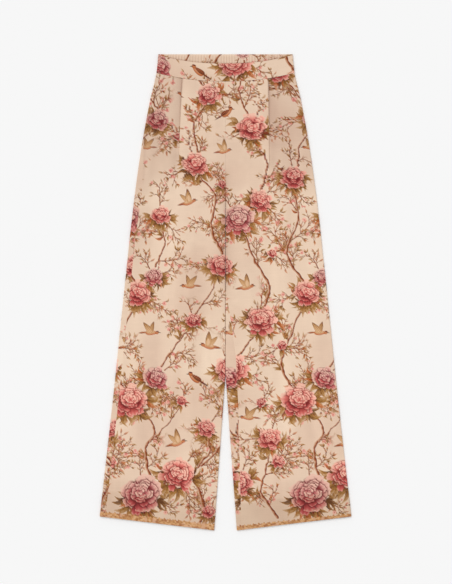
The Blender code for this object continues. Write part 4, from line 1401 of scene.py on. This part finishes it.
def leg_relief(side, is_back, middle, normals, from_seams, above_hem, sizes):
    """How far the cloth of a leg stands off its middle line: its seams, hem and slow waves."""
    y = middle[..., 1]
    from_inseam, from_outseam, below_top = from_seams
    relief = seam_relief(sizes, from_inseam, y, INSEAM_SEED) * (1.0 - CENTRE_FLATTER * centre_part(y))
    relief += seam_relief(sizes, from_outseam, y, OUTSEAM_SEED)
    relief += seam_relief(sizes, below_top, middle[..., 0], WAIST_SEED)
    relief -= sizes.hem_rise * HEM_EDGE[0] * faded(above_hem, 0.0, HEM_EDGE[1])
    from_stitches = above_hem - sizes.hem_depth
    depth, width = BACK_STITCH_DIP if is_back else FRONT_STITCH_DIP
    stitched = depth * np.exp(-((from_stitches / width) ** 2))
    if is_back:
        return np.minimum(relief, 0.0) - sizes.hem_rise * stitched
    relief += sizes.hem_rise * (faded(from_stitches, -0.0004, 0.0012) - stitched)
    calm = eased(from_inseam, *WAVES_CALM) * eased(from_outseam, *WAVES_CALM) * eased(below_top, 0.0, 0.03)
    relief += sizes.unevenness * slow_waves(middle[..., 0], y, WAVE_SEEDS[side]) * calm
    return np.minimum(relief, 0.0) + np.maximum(relief, 0.0) * eased(normals[..., 2], -0.9, -0.1)


def leg_panel(context, side, is_back):
    """The front or the back of one leg, as a shell with its print."""
    sizes = context.scene.pants_sizes
    middle, normals, along, from_inseam, from_outseam, across, pleats = leg_rows(side, is_back, sizes)
    y = middle[..., 1]
    above_hem = y - leg_height(1.0, across, is_back)
    below_top = leg_height(0.0, across, is_back) - y
    middle[..., 0] -= CENTRE_CLOSING * centre_part(y) * faded(from_inseam, 0.0, 0.002)
    from_seams = (from_inseam, from_outseam, below_top)
    relief = leg_relief(side, is_back, middle, normals, from_seams, above_hem, sizes)
    way, half = SIDE_SIGN[side], sizes.cloth / 2
    mirrored = np.array([way, 1.0, 1.0])
    outer, inner = ((middle + normals * (relief + off)[..., None]) * mirrored for off in (half, -half))
    border = mixed(*BORDER_HEIGHTS[side], across)
    start = BACK_START if is_back else FRONT_START
    laid, wrong, places = print_values(start + way * along, y + LENGTH / 2, above_hem, border, context)
    # Darker over the hem and a little way above it
    laid = laid * hem_darkening(side, above_hem, sizes)
    if is_back:
        # Painted shade where the back panel rolls to the front
        laid = laid * rolled_shade(side, middle, normals)
    else:
        laid = laid * painted_shading(side, middle, normals, pleats, sizes)
    rows, columns = y.shape
    folds = BACK_FOLD_COLUMNS if is_back else FRONT_FOLD_COLUMNS
    fine = [(0, folds), (columns - folds, columns)]
    if not is_back:
        centre = folds + sum(INWARD_COLUMNS)
        inward, outward = (sum(counts[:PLEAT_STATIONS]) for counts in (INWARD_COLUMNS, OUTWARD_COLUMNS))
        fine.append((centre - inward, centre + outward))
    keep = kept(rows, [(0, 2), (rows - 3, rows)], INSIDE_ROW_STEP), kept(columns, fine, INSIDE_COLUMN_STEP)
    part = "back" if is_back else "front"
    turned = is_back != (side == RIGHT)
    piece = shell(f"{part}_leg_{side}_cloth", (outer, inner), keep, turned, (laid, wrong), places)
    piece.data.materials.append(printed_cloth(context))
    return piece, f"{part}_panel_{side}", outer, normals, above_hem


TUCKED_SHADE = 0.0028  # how far above the front waistband the back one has painted shade
TUCKED_DEPTH = 1.6  # of that painted shade against the painted shade between the gathers
LEAST_FULL = 0.12  # of a waistband's thickness at its very edge
BAND_STITCHING = (0.0032, 0.0007)  # how far the front one's row of stitching lies in, and its width
STITCHING_DIP = 0.00022
BAND_UNEVENNESS, BAND_SEED = 0.00018, 31
BAND_TOP_SHADE = 0.0022  # how far down from its top the front one has painted shade
CASING_EDGE = (0.001, 0.007)  # distance from a waistband's edges over which its gathers deepen
GATHER_SLANT = 0.006
GATHERED_STRETCH = 1.12  # the gathers take up cloth
FOLDED_OVER = 0.012  # of the print between a waistband's two faces


def gathered(y, across, share, from_edge, sizes):
    """Relief of the back waistband's outer and inner faces, and the painted shade on the inner one: between
    the gathers and just above the front waistband.
    """
    casing = 0.35 + 0.65 * eased(from_edge, *CASING_EDGE)
    ridge = gather_wave(across + GATHER_SLANT * np.sin(across * 14.0) * (share - 0.5))
    tucked = faded(y - (LENGTH / 2 - FRONT_BAND_STEP - waist_dip(across)), -0.0005, TUCKED_SHADE)
    # Painted shade between the gathers and just above the front waistband
    hollow = sizes.gather_tone * ((1.0 - ridge) * casing + TUCKED_DEPTH * tucked)
    below = -sizes.under_gather * (1.0 - ridge) * casing * eased(1.0 - np.abs(across), 0.02, 0.08)
    return below, sizes.gather_height * ridge * casing, hollow


def interfaced(x, y, from_side, share, from_edge, sizes):
    """The same of the smooth front waistband, with painted shade along the top of its outer face."""
    place, width = BAND_STITCHING
    stitching = np.exp(-(((from_edge - place) / width) ** 2)) * (share < 0.5)
    relief = BAND_UNEVENNESS * slow_waves(x, y * 3.0, BAND_SEED) - STITCHING_DIP * stitching
    # Painted shade along the top of the outer face
    deeper = sizes.gather_tone * (share > 0.5) * faded(from_edge, 0.0, BAND_TOP_SHADE)
    return relief * eased(from_side, 0.002, 0.012), 0.0, np.full_like(x, deeper)


def band_row(share, is_back, sizes):
    """One row of a waistband at a share of its height: the points of its outer and its inner face, their
    places along the cloth, and how much painted shade deepens its tone."""
    thickness = BACK_BAND_WALL if is_back else FRONT_BAND_WALL
    columns = GATHERS * COLUMNS_PER_GATHER + 1 if is_back else FRONT_BAND_COLUMNS
    way = -1.0 if is_back else 1.0
    radius = BAND_PITCH / 2
    side_y = LENGTH / 2 - BAND_HEIGHT * (1.0 - share) - (0.0 if is_back else FRONT_BAND_STEP * share)
    half = float(outer_edge(side_y))
    centre = half - radius - thickness / 2
    out, lift, normal_out, normal_up = fold(np.linspace(0.0, radius * np.pi / 2, BAND_SIDE_STEPS), radius)

    def whole(side_values, middle, sign=1.0):
        return np.concatenate([sign * side_values, np.full(columns, middle), side_values[::-1]])

    x = whole(centre + out, 0.0, -1.0)
    x[BAND_SIDE_STEPS:-BAND_SIDE_STEPS] = np.linspace(-1.0, 1.0, columns) * (centre - FOLD_SHOULDER)
    lift = whole(lift, radius) * way
    z = lift + BACK_BAND_WALL / 2 + radius
    normal_x, normal_z = whole(normal_out, 0.0, -1.0), whole(normal_up, 1.0) * way
    across, from_side = x / half, half - np.abs(x)
    y = np.full_like(x, side_y) if is_back else side_y - waist_dip(across)
    from_edge = min(share, 1.0 - share) * BAND_HEIGHT
    turn = min(from_edge / sizes.band_edge, 1.0)
    full = thickness / 2 * max(np.sqrt(1.0 - (1.0 - turn) ** 2), LEAST_FULL)
    seam = -sizes.seam_groove * faded(np.hypot(from_side, 2 * lift), 0.0, sizes.seam_width)
    if is_back:
        outer_relief, inner_relief, deeper = gathered(y, across, share, from_edge, sizes)
    else:
        outer_relief, inner_relief, deeper = interfaced(x, y, from_side, share, from_edge, sizes)
    sizes_out = (full + (outer_relief + seam) * turn, -(full + inner_relief * turn))
    outside, inside = (np.stack([x + far * normal_x, y, z + far * normal_z], axis=-1) for far in sizes_out)
    return outside, inside, x, deeper


def waistband(context, is_back):
    """The front waistband, smooth and dipping in the middle, or the gathered back one."""
    sizes = context.scene.pants_sizes
    rim = sizes.band_edge / BAND_HEIGHT
    edge = rim * (1.0 - np.cos(np.linspace(0.0, np.pi / 2, BAND_EDGE_STEPS, endpoint=False)))
    shares = np.concatenate([edge, np.linspace(rim, 1 - rim, BAND_ROWS), 1.0 - edge[::-1]])
    made = zip(*(band_row(share, is_back, sizes) for share in shares))
    outside, inside, along, deeper = (np.array(values) for values in made)
    start = BACK_BAND_START if is_back else FRONT_BAND_START
    along = start[0] + along * (GATHERED_STRETCH if is_back else 1.0)
    nothing = np.zeros_like(along)
    up = BAND_HEIGHT * shares[:, None] + nothing
    folded_up = 2 * BAND_HEIGHT + FOLDED_OVER - up
    laid, _, places = print_values(along, start[1] + up, nothing + 1.0, nothing, context)
    laid_inside, _, _ = print_values(along, start[1] + folded_up, nothing + 1.0, nothing, context)
    plain = 1.0 - deeper[..., None] * SHADE_TINT
    # Painted shade on the back waistband's inner face, or along the front one's top
    if is_back:
        laid_inside = laid_inside * plain
    else:
        laid = laid * plain
    # Painted shade over the whole waistband
    laid = laid * (1.0 - sizes.top_tone * SHADE_TINT)
    rows, columns = along.shape
    keep_rows = np.arange(rows)
    if not is_back:
        keep_rows = kept(rows, [(0, BAND_EDGE_ROWS), (rows - BAND_EDGE_ROWS, rows)], BAND_INSIDE_STEP)
    keep = keep_rows, np.arange(columns)
    node = "waistband_back" if is_back else "waistband_front"
    piece = shell(f"{node}_cloth", (outside, inside), keep, not is_back, (laid, laid_inside), places)
    piece.data.materials.append(band_cloth(context))
    return piece, node


STITCH_SIDES = 6
STITCH_RINGS = ((0.0, 0.15), (0.18, 0.85), (0.5, 1.0), (0.82, 0.85), (1.0, 0.15))  # place and width
STITCH_START = 0.004  # from the seam
STITCH_LIFT = (0.35, -0.60)  # of its middle, in the thread's radius, where it faces up and down


def hem_stitches(context, hems):
    """Rows of short stitches that hold the hems, one mesh for the whole garment."""
    sizes = context.scene.pants_sizes
    points, faces = [], []
    turns = np.arange(STITCH_SIDES) * TURN / STITCH_SIDES
    pitch = sizes.stitch + sizes.stitch_gap
    for outer, normals, above_hem, side in hems:
        row = int(np.argmin(np.abs(above_hem[:, above_hem.shape[1] // 2] - sizes.hem_depth)))
        line, face_up = outer[row], normals[row]
        passed = added_up(np.linalg.norm(np.diff(line, axis=0), axis=1))

        def read_at(values, at):
            return np.array([np.interp(at, passed, values[:, k]) for k in range(3)])

        for start in np.arange(STITCH_START, passed[-1] - pitch, pitch):
            first, last = read_at(line, start), read_at(line, start + sizes.stitch)
            up = read_at(face_up, start)
            up[0] *= SIDE_SIGN[side]
            up /= np.linalg.norm(up)
            beside = np.cross(up, (last - first) / np.linalg.norm(last - first))
            lift = sizes.thread * STITCH_LIFT[0 if up[2] > 0.0 else 1]
            base = len(points)
            for share, width in STITCH_RINGS:
                centre = first + (last - first) * share + up * lift * np.sin(share * np.pi)
                for turn in turns:
                    points.append(centre + sizes.thread * width * (np.cos(turn) * beside + np.sin(turn) * up))
            rings = np.arange(base, len(points)).reshape(-1, STITCH_SIDES)
            for here, ahead in zip(rings, rings[1:]):
                faces += np.stack([here, np.roll(here, -1), np.roll(ahead, -1), ahead], axis=1).tolist()
            faces += [rings[0, ::-1].tolist(), rings[-1].tolist()]
    mesh = bpy.data.meshes.new("hem_stitches")
    mesh.from_pydata([tuple(p) for p in points], [], faces)
    mesh.update()
    mesh.shade_smooth()
    mesh.materials.append(thread_material(context))
    return added("hem_stitches", mesh)


# ---- materials


def placed(tree, kind, sockets, **settings):
    """A new shader node with its settings, and a number or a link in each socket."""
    node = tree.nodes.new(f"ShaderNode{kind}")
    for name, value in settings.items():
        setattr(node, name, value)
    for socket, value in sockets.items():
        if isinstance(value, bpy.types.NodeSocket):
            tree.links.new(value, node.inputs[socket])
        else:
            node.inputs[socket].default_value = value
    return node


def calculated(tree, operation, *values):
    return placed(tree, "Math", dict(enumerate(values)), operation=operation).outputs[0]


def new_material(name, values):
    """A material with constant values on its shader."""
    material = bpy.data.materials.new(name)
    material.use_nodes = True
    shader = material.node_tree.nodes["Principled BSDF"]
    for socket, value in values.items():
        shader.inputs[socket].default_value = value
    return material, material.node_tree, shader


SLUB_RISE = 6.0  # height of the slubs against their tint
# Of the weft, the warp and the mottling: scale across and along the cloth, detail and weight.
WEFT = (26.0, 520.0, 3.0, 1.0)
WARP = (430.0, 14.0, 2.0, 0.45)
MOTTLING = (900.0, 900.0, 2.0, 0.13)


def woven_group():
    """Weave of fine yarns with slubs: its height, and a tint round 1 for the colour."""
    name = "Slubbed weave"
    if name in bpy.data.node_groups:
        return bpy.data.node_groups[name]
    tree = bpy.data.node_groups.new(name, "ShaderNodeTree")
    for way, kind, names in (("INPUT", "Vector", ["Place"]), ("INPUT", "Float", ["Yarn", "Slub"]),
                             ("OUTPUT", "Float", ["Height", "Tint"])):
        for socket in names:
            tree.interface.new_socket(socket, in_out=way, socket_type=f"NodeSocket{kind}")
    start, end = tree.nodes.new("NodeGroupInput").outputs, tree.nodes.new("NodeGroupOutput").inputs
    split = placed(tree, "SeparateXYZ", {0: start["Place"]}).outputs

    def yarns(axis):
        turns = calculated(tree, "MULTIPLY", calculated(tree, "DIVIDE", split[axis], start["Yarn"]), TURN)
        return calculated(tree, "MULTIPLY", calculated(tree, "SINE", turns), 0.5)

    def slubs(across, along, detail, weight):
        stretch = placed(tree, "Mapping", {"Vector": start["Place"], "Scale": (across, along, 1.0)})
        noise = placed(tree, "TexNoise", {"Vector": stretch.outputs["Vector"], "Scale": 1.0, "Detail": detail,
                                          "Roughness": 0.55})
        return calculated(tree, "MULTIPLY", calculated(tree, "SUBTRACT", noise.outputs["Fac"], 0.5), weight)

    threads = calculated(tree, "ADD", slubs(*WEFT), slubs(*WARP))
    slub = calculated(tree, "MULTIPLY", threads, start["Slub"])
    woven = calculated(tree, "MULTIPLY", calculated(tree, "ADD", yarns("X"), yarns("Y")), 0.5)
    raised = calculated(tree, "MULTIPLY", slub, SLUB_RISE)
    tree.links.new(calculated(tree, "ADD", woven, raised), end["Height"])
    mottled = calculated(tree, "ADD", slub, slubs(*MOTTLING))
    tree.links.new(calculated(tree, "ADD", mottled, 1.0), end["Tint"])
    return tree


WEAVE_RISE = 0.00006  # height of the weave's relief


def cloth_material(name, context, roughness, sheen, slub, bump):
    """Printed cloth: the print from the cloth's own points, tinted and raised by its weave."""
    if name in bpy.data.materials:
        return bpy.data.materials[name]
    material, tree, shader = new_material(name, {
        "Roughness": roughness, "Metallic": 0.0, "Specular IOR Level": 0.20, "Sheen Weight": sheen,
        "Sheen Roughness": 0.35, "Sheen Tint": (1.0, 0.90, 0.80, 1.0),
    })
    printed = placed(tree, "Attribute", {}, attribute_name="print").outputs["Color"]
    place = placed(tree, "Attribute", {}, attribute_name="cloth_place").outputs["Vector"]
    weave = placed(tree, "Group", {"Yarn": context.scene.pants_sizes.yarn, "Slub": slub, "Place": place},
                   node_tree=woven_group()).outputs
    tint = placed(tree, "Mix", {"Factor": 1.0, "A": printed, "B": weave["Tint"]}, data_type="RGBA",
                  blend_type="MULTIPLY")
    rough = calculated(tree, "MULTIPLY_ADD", weave["Height"], 0.02, roughness)
    raised = placed(tree, "Bump", {"Strength": bump, "Distance": WEAVE_RISE, "Height": weave["Height"]})
    for value, socket in ((tint.outputs["Result"], "Base Color"), (rough, "Roughness"),
                          (raised.outputs["Normal"], "Normal")):
        tree.links.new(value, shader.inputs[socket])
    return material


def printed_cloth(context):
    """The legs' light satin."""
    return cloth_material("printed_satin", context, 0.56, 0.06, 0.10, 0.55)


def band_cloth(context):
    """The waistbands' interfaced satin, a little duller."""
    return cloth_material("waistband_satin", context, 0.62, 0.05, 0.08, 0.65)


def thread_material(context):
    """Matt sewing thread, twisted."""
    values = {"Roughness": 0.70, "Metallic": 0.0, "Sheen Weight": 0.10}
    material, tree, shader = new_material("sewing_thread", values)
    place = placed(tree, "TexCoord", {}).outputs["Object"]
    twist = placed(tree, "TexWave", {"Scale": 900.0, "Vector": place}, bands_direction="DIAGONAL")
    base = np.array(context.scene.print_inks.thread)
    colours = {"A": (*(base * 0.86), 1.0), "B": (*base, 1.0)}
    shade = placed(tree, "Mix", {**colours, "Factor": twist.outputs["Fac"]}, data_type="RGBA")
    tree.links.new(shade.outputs["Result"], shader.inputs["Base Color"])
    return material


# ---- operators

BODY = "root"
Cut = namedtuple("Cut", "width length area")  # flat pieces, as far as they show
HEMS = []


def settle(piece, node):
    """Puts a finished cloth piece in its node's place."""
    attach(piece, BODY)
    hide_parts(node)


def make_legs(context, is_back):
    """Both legs' front or back panels. Their lower ends are kept for the hems' stitches."""
    for side in (RIGHT, LEFT):
        piece, node, *hem = leg_panel(context, side, is_back)
        HEMS.append((*hem, side))
        settle(piece, node)
    return {"FINISHED"}


class PANTS_OT_back_legs(Operator):
    """Make the two back panels of the legs, which lie on the surface"""

    bl_idname = "pants.back_legs"
    bl_label = "Back legs"

    def execute(self, context):
        return make_legs(context, is_back=True)


class PANTS_OT_front_legs(Operator):
    """Make the two front panels of the legs, with their pleats"""

    bl_idname = "pants.front_legs"
    bl_label = "Front legs"

    def execute(self, context):
        return make_legs(context, is_back=False)


class PANTS_OT_waistbands(Operator):
    """Make the smooth front waistband and the gathered back one"""

    bl_idname = "pants.waistbands"
    bl_label = "Waistbands"

    def execute(self, context):
        piece, node = waistband(context, is_back=True)
        settle(piece, node)
        piece, node = waistband(context, is_back=False)
        settle(piece, node)
        return {"FINISHED"}


class PANTS_OT_hem_stitches(Operator):
    """Sew the four hems with short stitches"""

    bl_idname = "pants.hem_stitches"
    bl_label = "Hem stitches"

    def execute(self, context):
        if not HEMS:
            raise RuntimeError("the legs come before their hem stitches")
        stitches = hem_stitches(context, HEMS)
        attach(stitches, BODY)
        return {"FINISHED"}


PICTURE_CENTRE = (0.00115, 0.00070)
FLOOR_SIZE = 24.0
FLOOR_DROP = 0.0001  # under the surface, so that nothing shares its plane
KEY_AWAY = 4.0
SENSOR = 24.0  # height in millimetres
FAR_CLIP = 60.0


def add_floor(light):
    mesh = bpy.data.meshes.new("floor")
    corners = [(x * FLOOR_SIZE / 2, y * FLOOR_SIZE / 2, 0.0) for x, y in ((-1, -1), (1, -1), (1, 1), (-1, 1))]
    mesh.from_pydata(corners, [], [(0, 1, 2, 3)])
    floor = added("floor", mesh)
    floor.location.z = -FLOOR_DROP
    values = {"Base Color": (*light.floor, 1.0), "Roughness": 0.9, "Specular IOR Level": 0.0}
    mesh.materials.append(new_material("studio_floor", values)[0])


def add_lights(light):
    """Even light from all round, and a far, wide one from the side."""
    world = bpy.data.worlds.new("studio")
    bpy.context.scene.world = world
    world.use_nodes = True
    sky = world.node_tree.nodes["Background"].inputs
    sky["Color"].default_value = (1.0, 1.0, 1.0, 1.0)
    sky["Strength"].default_value = light.sky
    key = bpy.data.lights.new("key_light", "SUN")
    key.energy, key.angle = light.key, light.key_width
    made = added("key_light", key)
    height, turn = light.key_height, light.key_turn
    level = np.cos(height) * KEY_AWAY
    made.location = (-np.sin(turn) * level, np.cos(turn) * level, np.sin(height) * KEY_AWAY)
    made.rotation_euler = (-made.location).to_track_quat("-Z", "Y").to_euler()


def add_camera(light):
    lens = bpy.data.cameras.new("camera")
    lens.sensor_fit, lens.sensor_height, lens.clip_end = "VERTICAL", SENSOR, FAR_CLIP
    lens.lens = SENSOR * light.camera_height / light.picture_height
    camera = added("camera", lens)
    camera.location = (*PICTURE_CENTRE, light.camera_height)
    bpy.context.scene.camera = camera


class PANTS_OT_stage(Operator):
    """Set the pale floor, the soft studio light and the camera straight above"""

    bl_idname = "pants.stage"
    bl_label = "Stage"

    def execute(self, context):
        light = context.scene.stage_light
        add_floor(light)
        add_lights(light)
        add_camera(light)
        context.scene.view_settings.view_transform = "Standard"
        context.scene.view_settings.look = "None"
        return {"FINISHED"}


class PANTS_PT_pieces(Panel):
    """The pieces of the pants, their sizes and their inks"""

    bl_label = "Palazzo pants"
    bl_idname = "PANTS_PT_pieces"
    bl_space_type = "VIEW_3D"
    bl_region_type = "UI"
    bl_category = "Palazzo pants"

    def draw(self, context):
        layout = self.layout
        for title, group in (("Sizes", "pants_sizes"), ("Inks", "print_inks"), ("Stage", "stage_light")):
            box = layout.box()
            box.label(text=title)
            values = getattr(context.scene, group)
            for name in type(values).__annotations__:
                box.prop(values, name)
        for operator in OPERATORS:
            layout.operator(operator.bl_idname)


OPERATORS = (
    PANTS_OT_stage, PANTS_OT_back_legs, PANTS_OT_front_legs, PANTS_OT_waistbands, PANTS_OT_hem_stitches,
)
GROUPS = {"pants_sizes": PantsSizes, "print_inks": PrintInks, "stage_light": StageLight}


def register():
    for group in GROUPS.values():
        bpy.utils.register_class(group)
    for name, group in GROUPS.items():
        setattr(bpy.types.Scene, name, PointerProperty(type=group))
    for operator in OPERATORS:
        bpy.utils.register_class(operator)
    bpy.utils.register_class(PANTS_PT_pieces)


def unregister():
    bpy.utils.unregister_class(PANTS_PT_pieces)
    for operator in reversed(OPERATORS):
        bpy.utils.unregister_class(operator)
    for name in GROUPS:
        delattr(bpy.types.Scene, name)
    for group in GROUPS.values():
        bpy.utils.unregister_class(group)


def main():
    register()
    bpy.ops.pants.stage()
    bpy.ops.pants.back_legs()
    bpy.ops.pants.front_legs()
    bpy.ops.pants.waistbands()
    bpy.ops.pants.hem_stitches()


if __name__ == "__main__":
    main()
